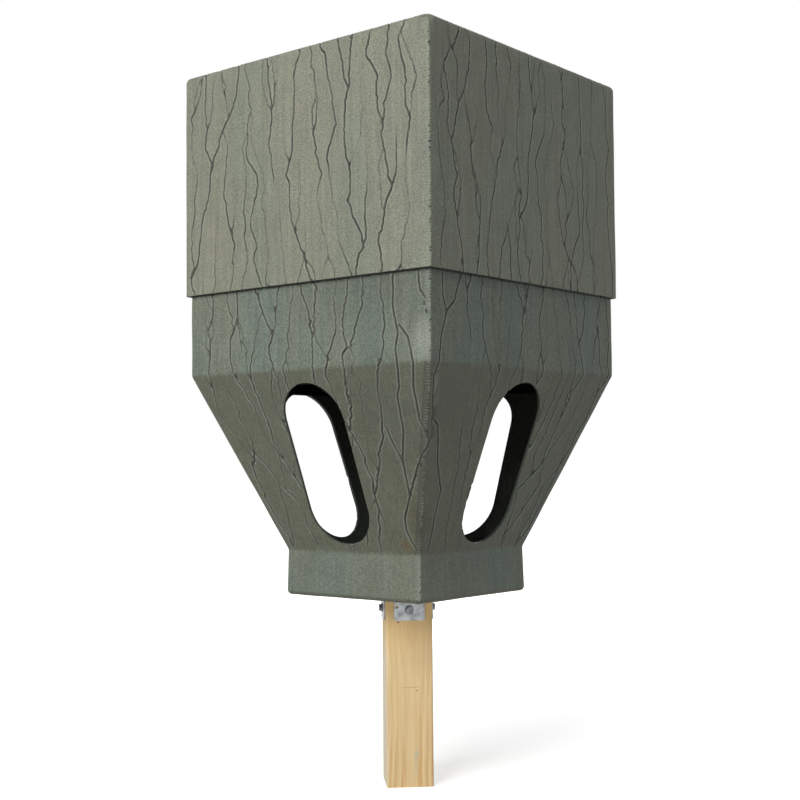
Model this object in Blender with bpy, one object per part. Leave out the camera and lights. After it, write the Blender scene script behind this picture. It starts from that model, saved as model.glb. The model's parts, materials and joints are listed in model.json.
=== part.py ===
"""Post-mounted gravity feeder: a moulded square hopper with a slip-over lid, four feeding ports in its
tapered neck, a drop-in funnel with a spout and an adjustable flow sleeve, and four angle brackets that
hold it on a square timber post. Metres, +Z up. The origin is the centre of the post's foot."""

import math

import bmesh
import bpy
from mathutils import Matrix, Vector

# Clearances
SEAT_GAP = 0.0003
HOLE_CLEARANCE = 0.0004

# Timber post
POST_WIDTH = 0.089
POST_LENGTH = 0.364
POST_EDGE_RADIUS = 0.003
POST_TURN = math.radians(45)

# Moulded body: heights are above the body's underside, which bears on the post
WALL = 0.0055
CORNER_RADIUS = 0.014
UPPER_WIDTH = 0.592
NECK_WIDTH = 0.331
BASE_WIDTH = 0.335
BODY_HEIGHT = 0.995
RIM_ROUND = 0.002
SHOULDER_HEIGHT = 0.420
NECK_HEIGHT = 0.086
BASE_EDGE_RADIUS = 0.009
NECK_BEND_RADIUS = 0.022
SHOULDER_BEND_RADIUS = 0.016

# Feeding ports: one round-ended port in each tapered wall, measured along the wall
PORT_WIDTH = 0.145
PORT_LENGTH = 0.317
PORT_ABOVE_NECK = 0.0155
PORT_CUTTER_DEPTH = 0.030

# Drain holes in the trough floor
DRAIN_DIAMETER = 0.008
DRAIN_FROM_WALL = 0.030

# Slip-over lid
LID_WALL = 0.0055
LID_CLEARANCE = 0.003
LID_SKIRT = 0.427
LID_TOP_EDGE_RADIUS = 0.011
LID_CROWN_RISE = 0.006
LID_CROWN_FLAT = 0.060
LID_LEAST_CORNER_RADIUS = 0.004

# Drop-in funnel and the ring that it rests on
FUNNEL_WALL = 0.004
FUNNEL_SIDE_CLEARANCE = 0.0015
FUNNEL_RING_SEAT = 0.030
FUNNEL_RIM_HEIGHT = 0.545
FUNNEL_RIM_WIDTH = 0.014
FUNNEL_RIM_CHAMFER = 0.002
FUNNEL_THROAT_HEIGHT = 0.330
FUNNEL_COLLAR_WALL = 0.004
FUNNEL_COLLAR_LENGTH = 0.025
FUNNEL_COLLAR_ROOT = 0.002

# Spout, a tube pushed up into the funnel's collar
SPOUT_DIAMETER = 0.124
SPOUT_WALL = 0.005
SPOUT_BOTTOM = 0.205

# Flow sleeve, which slides on the funnel's spout
SLEEVE_CLEARANCE = 0.0004
SLEEVE_WALL = 0.003
SLEEVE_BOTTOM = 0.070
SLEEVE_TOP_MARGIN = 0.014
SLEEVE_TRAVEL_DOWN = 0.020
SLEEVE_TRAVEL_UP = 0.030

# Thumb screws that clamp the sleeve
THUMB_SHANK_DIAMETER = 0.006
THUMB_SCREW_HEIGHT = 0.225
THUMB_COLLAR_DIAMETER = 0.014
THUMB_COLLAR_THICKNESS = 0.003
THUMB_HUB_DIAMETER = 0.010
THUMB_HUB_LENGTH = 0.012
THUMB_HUB_END_DIAMETER = 0.009
THUMB_WING_SPAN = 0.034
THUMB_WING_THICKNESS = 0.0035
THUMB_WING_HEIGHT = 0.013
THUMB_WING_TIP_RADIUS = 0.0055
THUMB_WING_ROOT = 0.0025
THUMB_WING_ROOT_LENGTH = 0.0085
THUMB_WING_ABOVE_COLLAR = 0.001

# Angle brackets
BRACKET_THICKNESS = 0.003
BRACKET_WIDTH = 0.059
BRACKET_DROP = 0.049
BRACKET_REACH = 0.046
BRACKET_BEND_RADIUS = 0.003
BRACKET_CORNER_RADIUS = 0.003
BRACKET_NAIL_HOLE_DIAMETER = 0.005
NAIL_HOLE_FROM_END = 0.006
NAIL_HOLE_BELOW_TOP = 0.024

# Lag screws, one through each bracket into the post
LAG_BELOW_TOP = 0.0285
LAG_DIAMETER = 0.008
LAG_LENGTH = 0.038
LAG_TIP_LENGTH = 0.008
LAG_TIP_DIAMETER = 0.0012
LAG_FLANGE_DIAMETER = 0.0175
LAG_FLANGE_THICKNESS = 0.0015
LAG_HEX_ACROSS_FLATS = 0.0127
LAG_HEAD_HEIGHT = 0.0065
LAG_HEAD_CHAMFER = 0.0008

# Bolts that hold the brackets to the trough floor: washer and head inside, nut below
BOLT_OUT_FROM_BRACKET = 0.024
BOLT_DIAMETER = 0.008
BOLT_HEAD_DIAMETER = 0.018
BOLT_HEAD_HEIGHT = 0.0045
BOLT_PAST_NUT = 0.003
BOLT_END_CHAMFER = 0.0006
WASHER_DIAMETER = 0.024
WASHER_THICKNESS = 0.0015
NUT_ACROSS_FLATS = 0.013
NUT_HEIGHT = 0.0065

# How far a drill starts or ends outside the wall that it cuts
DRILL_PAST_WALL = 0.008

# The least radius that an inner bend keeps
LEAST_BEND_RADIUS = 0.001

# Facets
CORNER_STEPS = 6
FUNNEL_SIDE_STEPS = 6
FUNNEL_SIDE_TURN = math.radians(50)
BEND_STEPS = 4
ROUND_STEPS = 18
SLOT_STEPS = 7
THUMB_STEPS = 16
SMALL_HOLE_STEPS = 12
CONE_STEPS = 4
DOME_STEPS = 4
EDGE_STEPS = 3

UNDERSIDE = POST_LENGTH + SEAT_GAP
QUARTER_TURNS = [math.radians(90) * i for i in range(4)]
SIDE_NAMES = ["front", "right", "back", "left"]


def clear_scene():
    for obj in list(bpy.data.objects):
        bpy.data.objects.remove(obj)


def material(name, colour, roughness, metallic=0.0):
    made = bpy.data.materials.new(name)
    made.use_nodes = True
    shader = made.node_tree.nodes["Principled BSDF"]
    shader.inputs["Base Color"].default_value = (*colour, 1.0)
    shader.inputs["Roughness"].default_value = roughness
    shader.inputs["Metallic"].default_value = metallic
    made.diffuse_color = (*colour, 1.0)
    return made


def add_object(name, mesh, finish, parent=None, location=(0, 0, 0), turn=None):
    obj = bpy.data.objects.new(name, mesh)
    bpy.context.scene.collection.objects.link(obj)
    if finish and not mesh.materials:
        mesh.materials.append(finish)
    obj.parent = parent
    obj.location = location
    if turn is not None:
        obj.rotation_mode = "QUATERNION"
        obj.rotation_quaternion = turn.to_quaternion()
    return obj


def mesh_of(name, bm, sharp_degrees=35):
    bmesh.ops.recalc_face_normals(bm, faces=bm.faces)
    mesh = bpy.data.meshes.new(name)
    bm.to_mesh(mesh)
    bm.free()
    mesh.shade_smooth()
    mesh.set_sharp_from_angle(angle=math.radians(sharp_degrees))
    return mesh


def arc(centre, start, end, radius, steps):
    """Points of an arc in the plane, from angle start to angle end."""
    angles = [start + (end - start) * i / steps for i in range(steps + 1)]
    return [(centre[0] + radius * math.cos(a), centre[1] + radius * math.sin(a)) for a in angles]


def square_ring(half_width, radius, height, side_steps=0):
    """A square with rounded corners, anticlockwise, with its sides divided into side_steps."""
    reach = half_width - radius
    points = []
    for quarter, (sx, sy) in enumerate(((1, 1), (-1, 1), (-1, -1), (1, -1))):
        start = math.radians(90) * quarter
        corner = arc((sx * reach, sy * reach), start, start + math.radians(90), radius, CORNER_STEPS)
        points += corner
        ahead = Vector((-math.cos(start), -math.sin(start))) * 2 * reach
        for i in range(1, side_steps):
            points.append(tuple(Vector(corner[-1]) + ahead * i / side_steps))
    return [Vector((x, y, height)) for x, y in points]


def round_ring(radius, height, steps=ROUND_STEPS, start=0.0):
    angles = [start + math.tau * i / steps for i in range(steps)]
    return [Vector((radius * math.cos(a), radius * math.sin(a), height)) for a in angles]


def hex_ring(across_flats, height, steps=ROUND_STEPS):
    """A hexagon with as many points as a round ring, so that the two can be joined."""
    sixth = math.radians(60)
    points = []
    for i in range(steps):
        angle = math.tau * i / steps
        radius = across_flats / 2 / math.cos((angle % sixth) - sixth / 2)
        points.append(Vector((radius * math.cos(angle), radius * math.sin(angle), height)))
    return points


def loft(name, rings, closed=False):
    """Joins rings of equal count into a skin: capped at both ends, or closed back on to the first ring."""
    bm = bmesh.new()
    rows = [[bm.verts.new(point) for point in ring] for ring in rings]
    pairs = list(zip(rows, rows[1:]))
    if closed:
        pairs.append((rows[-1], rows[0]))
    else:
        bm.faces.new(rows[0])
        bm.faces.new(rows[-1])
    for lower, upper in pairs:
        for i in range(len(lower)):
            j = (i + 1) % len(lower)
            bm.faces.new((lower[i], lower[j], upper[j], upper[i]))
    return mesh_of(name, bm)


def cylinder_mesh(name, radius, bottom, top, steps=ROUND_STEPS):
    """A drill for a round hole. It is turned half a facet, so that its corners miss the seams it cuts."""
    start = math.pi / steps
    return loft(name, [round_ring(radius, bottom, steps, start), round_ring(radius, top, steps, start)])


def cut(target, mesh, parent=None, location=(0, 0, 0), turn=None):
    """Cuts a shape out of target with a hidden cutter."""
    cutter = add_object(mesh.name, mesh, None, parent, location, turn)
    cutter.hide_render = True
    cutter.display_type = "WIRE"
    modifier = target.modifiers.new(mesh.name, "BOOLEAN")
    modifier.operation = "DIFFERENCE"
    modifier.solver = "EXACT"
    modifier.object = cutter


def offset_line(corners, distance):
    """Corners of an outline moved inwards, where inwards is towards smaller width and greater height."""
    lines = []
    for (w0, h0, _), (w1, h1, _) in zip(corners, corners[1:]):
        along = Vector((w1 - w0, h1 - h0)).normalized()
        inwards = Vector((-along.y, along.x))
        lines.append((Vector((w0, h0)) + inwards * distance, along))
    moved = [lines[0][0]]
    for (a, u), (b, v) in zip(lines, lines[1:]):
        share = ((b.x - a.x) * v.y - (b.y - a.y) * v.x) / (u.x * v.y - u.y * v.x)
        moved.append(a + u * share)
    end, along = lines[-1]
    moved.append(end + along * (Vector(corners[-1][:2]) - Vector(corners[-2][:2])).length)
    turns = [_turn(corners, i) for i in range(len(corners))]
    radii = []
    for (_, _, bend), turn in zip(corners, turns):
        radii.append(max(LEAST_BEND_RADIUS, bend - distance * turn) if bend else 0)
    return [(point.x, point.y, bend) for point, bend in zip(moved, radii)]


def _turn(corners, index):
    """+1 where the outline turns inwards at a corner, -1 where it turns outwards."""
    if index in (0, len(corners) - 1):
        return 0
    (w0, h0, _), (w1, h1, _), (w2, h2, _) = corners[index - 1 : index + 2]
    return 1 if (w1 - w0) * (h2 - h1) - (h1 - h0) * (w2 - w1) > 0 else -1


def rounded_line(corners):
    """(width, height) points of an outline whose corners are rounded by their own bend radii."""
    points = [corners[0][:2]]
    for before, here, after in zip(corners, corners[1:], corners[2:]):
        p = Vector(here[:2])
        back = (Vector(before[:2]) - p).normalized()
        ahead = (Vector(after[:2]) - p).normalized()
        if not here[2]:
            points.append(tuple(p))
            continue
        half_angle = back.angle(ahead) / 2
        centre = p + (back + ahead).normalized() * here[2] / math.sin(half_angle)
        first = p + back * here[2] / math.tan(half_angle)
        last = p + ahead * here[2] / math.tan(half_angle)
        for i in range(BEND_STEPS + 1):
            spoke = (first - centre).lerp(last - centre, i / BEND_STEPS).normalized()
            points.append(tuple(centre + spoke * here[2]))
    points.append(corners[-1][:2])
    return points


def body_corners():
    """The body's outer outline from the middle of its floor to its rim: (half width, height, bend)."""
    return [
        (0.0, 0.0, 0),
        (BASE_WIDTH / 2, 0.0, BASE_EDGE_RADIUS),
        (NECK_WIDTH / 2, NECK_HEIGHT, NECK_BEND_RADIUS),
        (UPPER_WIDTH / 2, SHOULDER_HEIGHT, SHOULDER_BEND_RADIUS),
        (UPPER_WIDTH / 2, BODY_HEIGHT, RIM_ROUND),
        (UPPER_WIDTH / 2 - WALL / 2, BODY_HEIGHT, 0),
    ]


def shell_rings(corners, inset):
    """One rounded square for each point of an outline that lies inset from the body's outside."""
    rings = []
    for half_width, height in rounded_line(corners)[1:]:
        radius = CORNER_RADIUS - inset
        if height < NECK_HEIGHT / 2:
            radius = min(radius, CORNER_RADIUS + half_width - BASE_WIDTH / 2)
        elif height > (SHOULDER_HEIGHT + BODY_HEIGHT) / 2:
            radius = CORNER_RADIUS + half_width - UPPER_WIDTH / 2
        rings.append(square_ring(half_width, radius, height))
    return rings


def build_body(plastic, parent):
    """The hopper, neck and trough in one moulding, with its ports and drain and bolt holes."""
    outer = shell_rings(body_corners(), 0.0)
    inside = offset_line(body_corners()[:-1], WALL)
    rim = UPPER_WIDTH / 2 - WALL
    inside[-1] = (rim, BODY_HEIGHT, RIM_ROUND)
    inside.append((rim + WALL / 2, BODY_HEIGHT, 0))
    inner = shell_rings(inside, WALL)[:-1]
    body = add_object("body_shell", loft("body_shell", outer + inner[::-1]), plastic, parent)
    for name, turn in zip(SIDE_NAMES, QUARTER_TURNS):
        cut(body, port_cutter("port_" + name), parent, turn=Matrix.Rotation(turn, 3, "Z"))
    drain_out = NECK_WIDTH / 2 - WALL - DRAIN_FROM_WALL
    for name, turn in zip(SIDE_NAMES, QUARTER_TURNS):
        top = WALL + DRILL_PAST_WALL
        drain = cylinder_mesh("drain_" + name, DRAIN_DIAMETER / 2, -DRILL_PAST_WALL, top, SMALL_HOLE_STEPS)
        place = Matrix.Rotation(turn, 3, "Z") @ Vector((drain_out, drain_out, 0))
        cut(body, drain, parent, place)
    for name, turn in zip(SIDE_NAMES, QUARTER_TURNS):
        radius = BOLT_DIAMETER / 2 + HOLE_CLEARANCE
        hole = cylinder_mesh("floor_hole_" + name, radius, -DRILL_PAST_WALL, WALL + DRILL_PAST_WALL)
        cut(body, hole, parent, bolt_place(turn))


def port_cutter(name):
    """A round-ended bar, square to the front tapered wall, at the port's place on it."""
    rise = SHOULDER_HEIGHT - NECK_HEIGHT
    run = (UPPER_WIDTH - NECK_WIDTH) / 2
    lean = math.atan2(run, rise)
    radius = PORT_WIDTH / 2
    straight = PORT_LENGTH / 2 - radius
    steps = ROUND_STEPS // 2
    outline = arc((0, straight), 0, math.pi, radius, steps)
    outline += arc((0, -straight), math.pi, math.tau, radius, steps)
    depths = (-PORT_CUTTER_DEPTH, PORT_CUTTER_DEPTH)
    mesh = loft(name, [[Vector((x, depth, z)) for x, z in outline] for depth in depths])
    mid = PORT_ABOVE_NECK + PORT_LENGTH / 2
    out = NECK_WIDTH / 2 + mid * math.sin(lean)
    place = Matrix.Translation((0, -out, NECK_HEIGHT + mid * math.cos(lean)))
    mesh.transform(place @ Matrix.Rotation(lean, 4, "X"))
    return mesh


def build_lid(plastic, parent):
    """The slip-over cover: its ceiling rests on the body's rim and its skirt hangs round the body."""
    inner_half = UPPER_WIDTH / 2 + LID_CLEARANCE
    ceiling = BODY_HEIGHT + SEAT_GAP
    outer_corners = [
        (inner_half + LID_WALL, ceiling + LID_WALL - LID_SKIRT, 0),
        (inner_half + LID_WALL, ceiling + LID_WALL, LID_TOP_EDGE_RADIUS),
        (LID_CROWN_FLAT, ceiling + LID_WALL + LID_CROWN_RISE, 0),
    ]
    inner_corners = [
        (inner_half, outer_corners[0][1], 0),
        (inner_half, ceiling, LID_TOP_EDGE_RADIUS - LID_WALL),
        (LID_CROWN_FLAT, ceiling + LID_CROWN_RISE, 0),
    ]
    outer = lid_rings(outer_corners, CORNER_RADIUS + LID_CLEARANCE)
    inner = lid_rings(inner_corners, CORNER_RADIUS + LID_CLEARANCE - LID_WALL)
    add_object("lid", loft("lid", outer[::-1] + inner), plastic, parent)


def lid_rings(corners, corner_radius):
    rings = []
    for half_width, height in rounded_line(corners):
        radius = max(LID_LEAST_CORNER_RADIUS, corner_radius - (corners[0][0] - half_width))
        rings.append(square_ring(half_width, radius, height))
    return rings


def spout_ring(radius, height):
    """A round ring with as many points as a funnel ring. Those of the sides take half of its turn."""
    points = []
    for quarter in QUARTER_TURNS:
        start = quarter + FUNNEL_SIDE_TURN / 2
        end = quarter + math.radians(90) - FUNNEL_SIDE_TURN / 2
        points += arc((0, 0), start, end, radius, CORNER_STEPS)
        points += arc((0, 0), end, end + FUNNEL_SIDE_TURN, radius, FUNNEL_SIDE_STEPS)[1:-1]
    return [Vector((x, y, height)) for x, y in points]


def funnel_square(half_width, height):
    """A rounded square that fits the inside of the body's walls."""
    return square_ring(half_width, CORNER_RADIUS - WALL, height, FUNNEL_SIDE_STEPS)


def funnel_cone(half_width, top, spout_radius, bottom):
    """Rings that turn evenly from a rounded square at the top into a circle at the bottom."""
    square = funnel_square(half_width, top)
    circle = spout_ring(spout_radius, bottom)
    shares = [i / CONE_STEPS for i in range(CONE_STEPS + 1)]
    return [[a.lerp(b, share) for a, b in zip(square, circle)] for share in shares]


def funnel_seat():
    """Where the ring stands inside the body: the shoulder's corner, and the direction down the taper."""
    seat = offset_line(body_corners(), WALL + SEAT_GAP)
    neck, shoulder = Vector(seat[2][:2]), Vector(seat[3][:2])
    return shoulder, (neck - shoulder).normalized()


def build_funnel_ring(plastic, parent):
    """The ring under the funnel's rim. It stands with a sloped foot on the inside of the taper."""
    shoulder, slope = funnel_seat()
    inwards = Vector((slope.y, -slope.x)) * FUNNEL_WALL
    foot = shoulder + slope * FUNNEL_RING_SEAT
    knee = shoulder + slope * (FUNNEL_SIDE_CLEARANCE / -slope.x)
    outer = shoulder.x - FUNNEL_SIDE_CLEARANCE
    inner = outer - FUNNEL_WALL
    top = FUNNEL_RIM_HEIGHT - FUNNEL_WALL - SEAT_GAP
    rings = [funnel_square(foot.x, foot.y), funnel_square(knee.x, knee.y), funnel_square(outer, top)]
    rings += [funnel_square(inner, top), funnel_square(inner, knee.y)]
    rings += [funnel_square(foot.x + inwards.x, foot.y + inwards.y)]
    add_object("funnel_ring", loft("funnel_ring", rings, closed=True), plastic, parent)


def build_funnel(plastic, parent):
    """Hopper floor: a flat rim that lies on the ring, a square-to-round cone and a collar."""
    shoulder, _ = funnel_seat()
    half = shoulder.x - FUNNEL_SIDE_CLEARANCE
    top, under = FUNNEL_RIM_HEIGHT, FUNNEL_RIM_HEIGHT - FUNNEL_WALL
    cone_half = half - FUNNEL_RIM_WIDTH
    collar_inner = SPOUT_DIAMETER / 2 + SEAT_GAP
    collar_outer = collar_inner + FUNNEL_COLLAR_WALL
    collar_bottom = FUNNEL_THROAT_HEIGHT - FUNNEL_COLLAR_LENGTH
    collar_root = FUNNEL_THROAT_HEIGHT - FUNNEL_COLLAR_ROOT
    rings = [funnel_square(half, under), funnel_square(half, top - FUNNEL_RIM_CHAMFER)]
    rings += [funnel_square(half - FUNNEL_RIM_CHAMFER, top)]
    rings += funnel_cone(cone_half, top, SPOUT_DIAMETER / 2 - SPOUT_WALL, FUNNEL_THROAT_HEIGHT)
    rings += [spout_ring(collar_inner, FUNNEL_THROAT_HEIGHT), spout_ring(collar_inner, collar_bottom)]
    rings += [spout_ring(collar_outer, collar_bottom)]
    rings += funnel_cone(cone_half - FUNNEL_WALL, under, collar_outer, collar_root)[::-1]
    add_object("hopper_funnel", loft("hopper_funnel", rings, closed=True), plastic, parent)


def build_spout(plastic, parent):
    """The tube that hangs from the funnel's collar, with a hole for each thumb screw."""
    inner, outer = SPOUT_DIAMETER / 2 - SPOUT_WALL, SPOUT_DIAMETER / 2
    top = FUNNEL_THROAT_HEIGHT - SEAT_GAP
    rings = [spout_ring(inner, SPOUT_BOTTOM), spout_ring(outer, SPOUT_BOTTOM)]
    rings += [spout_ring(outer, top), spout_ring(inner, top)]
    spout = add_object("feed_spout", loft("feed_spout", rings, closed=True), plastic, parent)
    for name, turn in thumb_turns():
        hole = radial_cylinder("thumb_hole_" + name, THUMB_SHANK_DIAMETER / 2 + HOLE_CLEARANCE)
        cut(spout, hole, parent, (0, 0, THUMB_SCREW_HEIGHT), Matrix.Rotation(turn, 3, "Z"))


def thumb_turns():
    """The two thumb screws face the left and right ports."""
    return [("right", 0.0), ("left", math.pi)]


def radial_cylinder(name, radius):
    """A short cylinder along +X that passes through the spout's wall."""
    start = SPOUT_DIAMETER / 2 - SPOUT_WALL - DRILL_PAST_WALL
    mesh = cylinder_mesh(name, radius, start, SPOUT_DIAMETER / 2 + DRILL_PAST_WALL, THUMB_STEPS)
    mesh.transform(Matrix.Rotation(math.radians(90), 4, "Y"))
    return mesh


def build_sleeve(plastic, parent):
    """The flow sleeve: a tube on the spout, with a slot at each thumb screw that sets its travel."""
    inner = SPOUT_DIAMETER / 2 + SLEEVE_CLEARANCE
    outer = inner + SLEEVE_WALL
    slot_radius = THUMB_SHANK_DIAMETER / 2 + HOLE_CLEARANCE
    slot_top = THUMB_SCREW_HEIGHT + SLEEVE_TRAVEL_DOWN
    slot_bottom = THUMB_SCREW_HEIGHT - SLEEVE_TRAVEL_UP
    top = slot_top + slot_radius + SLEEVE_TOP_MARGIN
    rings = [spout_ring(inner, SLEEVE_BOTTOM), spout_ring(outer, SLEEVE_BOTTOM)]
    rings += [spout_ring(outer, top), spout_ring(inner, top)]
    sleeve = add_object("flow_sleeve", loft("flow_sleeve", rings, closed=True), plastic, parent)
    depths = (inner - DRILL_PAST_WALL, outer + DRILL_PAST_WALL)
    for name, turn in thumb_turns():
        outline = arc((0, slot_top), 0, math.pi, slot_radius, SLOT_STEPS)
        outline += arc((0, slot_bottom), math.pi, math.tau, slot_radius, SLOT_STEPS)
        slot = loft("sleeve_slot_" + name, [[Vector((x, y, z)) for y, z in outline] for x in depths])
        cut(sleeve, slot, parent, turn=Matrix.Rotation(turn, 3, "Z"))


def thumb_screw_mesh():
    """Shank, clamping collar, hub and two wings, along +Z from the inner end of the shank."""
    spout = SPOUT_DIAMETER / 2
    shank_start = spout - SPOUT_WALL
    collar = spout + SLEEVE_CLEARANCE + SLEEVE_WALL + SEAT_GAP
    hub = collar + THUMB_COLLAR_THICKNESS
    end = hub + THUMB_HUB_LENGTH
    turned = [
        (THUMB_SHANK_DIAMETER, shank_start),
        (THUMB_SHANK_DIAMETER, collar),
        (THUMB_COLLAR_DIAMETER, collar),
        (THUMB_COLLAR_DIAMETER, hub),
        (THUMB_HUB_DIAMETER, hub),
        (THUMB_HUB_END_DIAMETER, end),
    ]
    rings = [round_ring(diameter / 2, height, THUMB_STEPS) for diameter, height in turned]
    return loft("thumb_screw", rings), hub


def wing_mesh(hub):
    """Both wings in one plate: two swept lobes that rise from the hub, drawn in the X-Z plane."""
    base = hub + THUMB_WING_ABOVE_COLLAR
    tip = (THUMB_WING_SPAN / 2 - THUMB_WING_TIP_RADIUS, base + THUMB_WING_HEIGHT)
    lobe = arc(tip, math.radians(-60), math.radians(150), THUMB_WING_TIP_RADIUS, SLOT_STEPS)
    outline = [(THUMB_WING_ROOT, base)] + lobe + [(THUMB_WING_ROOT, base + THUMB_WING_ROOT_LENGTH)]
    outline += [(-x, z) for x, z in reversed(outline)]
    thickness = THUMB_WING_THICKNESS / 2
    rings = [[Vector((x, y, z)) for x, z in outline] for y in (-thickness, thickness)]
    return loft("thumb_wing", rings)


def build_thumb_screws(steel, parent):
    screw, hub = thumb_screw_mesh()
    wings = wing_mesh(hub)
    for name, turn in thumb_turns():
        pose = Matrix.Rotation(turn, 3, "Z") @ Matrix.Rotation(math.radians(90), 3, "Y")
        place = (0, 0, THUMB_SCREW_HEIGHT)
        obj = add_object("thumb_screw_" + name, screw, steel, parent, place, pose)
        wing = add_object("thumb_wing_" + name, wings, None, parent, place, pose)
        wing.hide_render = True
        wing.display_type = "WIRE"
        join = obj.modifiers.new("wings", "BOOLEAN")
        join.operation = "UNION"
        join.object = wing


def round_edges(bm, edges, radius, steps):
    bmesh.ops.bevel(bm, geom=edges, offset=radius, segments=steps, affect="EDGES", profile=0.5)


def bolt_place(turn):
    """Where a floor bolt stands, square to the middle of one of the post's faces."""
    out = POST_WIDTH / 2 + SEAT_GAP + BRACKET_THICKNESS + BOLT_OUT_FROM_BRACKET
    return Matrix.Rotation(turn + POST_TURN, 3, "Z") @ Vector((0, -out, 0))


def bracket_mesh():
    """A bent angle for the post's front face: one leg down the post, the other out under the floor."""
    outer_bend = BRACKET_BEND_RADIUS + BRACKET_THICKNESS
    top = -SEAT_GAP
    back = 0.0
    bend = (-outer_bend, top - outer_bend)
    outside = [(back, top - BRACKET_DROP)]
    outside += arc(bend, 0, math.radians(90), outer_bend, BEND_STEPS)
    outside += [(-BRACKET_REACH, top)]
    inside = [(-BRACKET_REACH, top - BRACKET_THICKNESS)]
    inside += arc(bend, math.radians(90), 0, BRACKET_BEND_RADIUS, BEND_STEPS)
    inside += [(-BRACKET_THICKNESS, top - BRACKET_DROP)]
    outline = outside + inside
    half = BRACKET_WIDTH / 2
    bm = bmesh.new()
    ends = [[bm.verts.new((x, y, z)) for y, z in outline] for x in (-half, half)]
    bm.faces.new(ends[0])
    bm.faces.new(ends[1])
    for i in range(len(outline)):
        j = (i + 1) % len(outline)
        bm.faces.new((ends[0][i], ends[0][j], ends[1][j], ends[1][i]))
    round_edges(bm, [e for e in bm.edges if _is_leg_corner(e)], BRACKET_CORNER_RADIUS, BEND_STEPS)
    return mesh_of("bracket", bm)


def _is_leg_corner(edge):
    """True for the short edges through the plate's thickness at the four free corners."""
    a, b = (v.co for v in edge.verts)
    lowest = -SEAT_GAP - BRACKET_DROP
    at_foot = abs(a.z - lowest) < 1e-6 and abs(b.z - lowest) < 1e-6
    at_toe = abs(a.y + BRACKET_REACH) < 1e-6 and abs(b.y + BRACKET_REACH) < 1e-6
    return abs(a.x - b.x) < 1e-6 and (at_foot or at_toe)


def build_brackets(steel, parent):
    mesh = bracket_mesh()
    face = POST_WIDTH / 2 + SEAT_GAP
    reach = BRACKET_THICKNESS + DRILL_PAST_WALL
    bolt_radius = BOLT_DIAMETER / 2 + HOLE_CLEARANCE
    for name, turn in zip(SIDE_NAMES, QUARTER_TURNS):
        pose = Matrix.Rotation(turn + POST_TURN, 3, "Z")
        bracket = add_object("bracket_" + name, mesh, steel, parent, pose @ Vector((0, -face, 0)), pose)
        along_y = Matrix.Rotation(math.radians(90), 4, "X")
        lag = cylinder_mesh("lag_hole_" + name, LAG_DIAMETER / 2 + HOLE_CLEARANCE, -reach, reach)
        lag.transform(along_y)
        cut(bracket, lag, parent, pose @ Vector((0, -face, -LAG_BELOW_TOP)), pose)
        nail_radius = BRACKET_NAIL_HOLE_DIAMETER / 2
        nail = cylinder_mesh("nail_hole_" + name, nail_radius, -reach, reach, SMALL_HOLE_STEPS)
        nail.transform(along_y)
        nail_x = NAIL_HOLE_FROM_END - BRACKET_WIDTH / 2
        cut(bracket, nail, parent, pose @ Vector((nail_x, -face, -NAIL_HOLE_BELOW_TOP)), pose)
        cut(bracket, cylinder_mesh("bolt_hole_" + name, bolt_radius, -reach, reach), parent, bolt_place(turn))


def lag_screw_mesh():
    """Pointed shank, flange and hexagon head along +Z, with the flange's seat at the origin."""
    shank = LAG_DIAMETER / 2
    flange = LAG_FLANGE_DIAMETER / 2
    rings = [
        round_ring(LAG_TIP_DIAMETER / 2, -LAG_LENGTH),
        round_ring(shank, LAG_TIP_LENGTH - LAG_LENGTH),
        round_ring(shank, 0),
        round_ring(flange, 0),
        round_ring(flange, LAG_FLANGE_THICKNESS),
        hex_ring(LAG_HEX_ACROSS_FLATS, LAG_FLANGE_THICKNESS),
        hex_ring(LAG_HEX_ACROSS_FLATS, LAG_HEAD_HEIGHT - LAG_HEAD_CHAMFER),
        round_ring(LAG_HEX_ACROSS_FLATS / 2 - LAG_HEAD_CHAMFER / 2, LAG_HEAD_HEIGHT),
    ]
    return loft("lag_screw", rings)


def build_lag_screws(steel, parent):
    mesh = lag_screw_mesh()
    seat = POST_WIDTH / 2 + BRACKET_THICKNESS + 2 * SEAT_GAP
    for name, turn in zip(SIDE_NAMES, QUARTER_TURNS):
        side = Matrix.Rotation(turn + POST_TURN, 3, "Z")
        pose = side @ Matrix.Rotation(math.radians(90), 3, "X")
        place = side @ Vector((0, -seat, -LAG_BELOW_TOP))
        add_object("lag_screw_" + name, mesh, steel, parent, place, pose)


def bolt_mesh():
    """Domed head in the trough, shank down through washer, floor, bracket and nut; head seat at z 0."""
    shank = BOLT_DIAMETER / 2
    head = BOLT_HEAD_DIAMETER / 2
    length = WASHER_THICKNESS + WALL + BRACKET_THICKNESS + NUT_HEIGHT + 4 * SEAT_GAP + BOLT_PAST_NUT
    rings = [round_ring(shank - BOLT_END_CHAMFER, -length), round_ring(shank, BOLT_END_CHAMFER - length)]
    rings.append(round_ring(shank, 0))
    for i in range(DOME_STEPS):
        angle = math.radians(90) * i / DOME_STEPS
        rings.append(round_ring(head * math.cos(angle), BOLT_HEAD_HEIGHT * math.sin(angle)))
    return loft("floor_bolt", rings)


def ring_mesh(name, inner, outer_rings):
    """A washer or nut: outer rings from bottom to top round a plain bore."""
    bottom, top = outer_rings[0][0].z, outer_rings[-1][0].z
    rings = [round_ring(inner, bottom)] + outer_rings + [round_ring(inner, top)]
    return loft(name, rings, closed=True)


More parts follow.
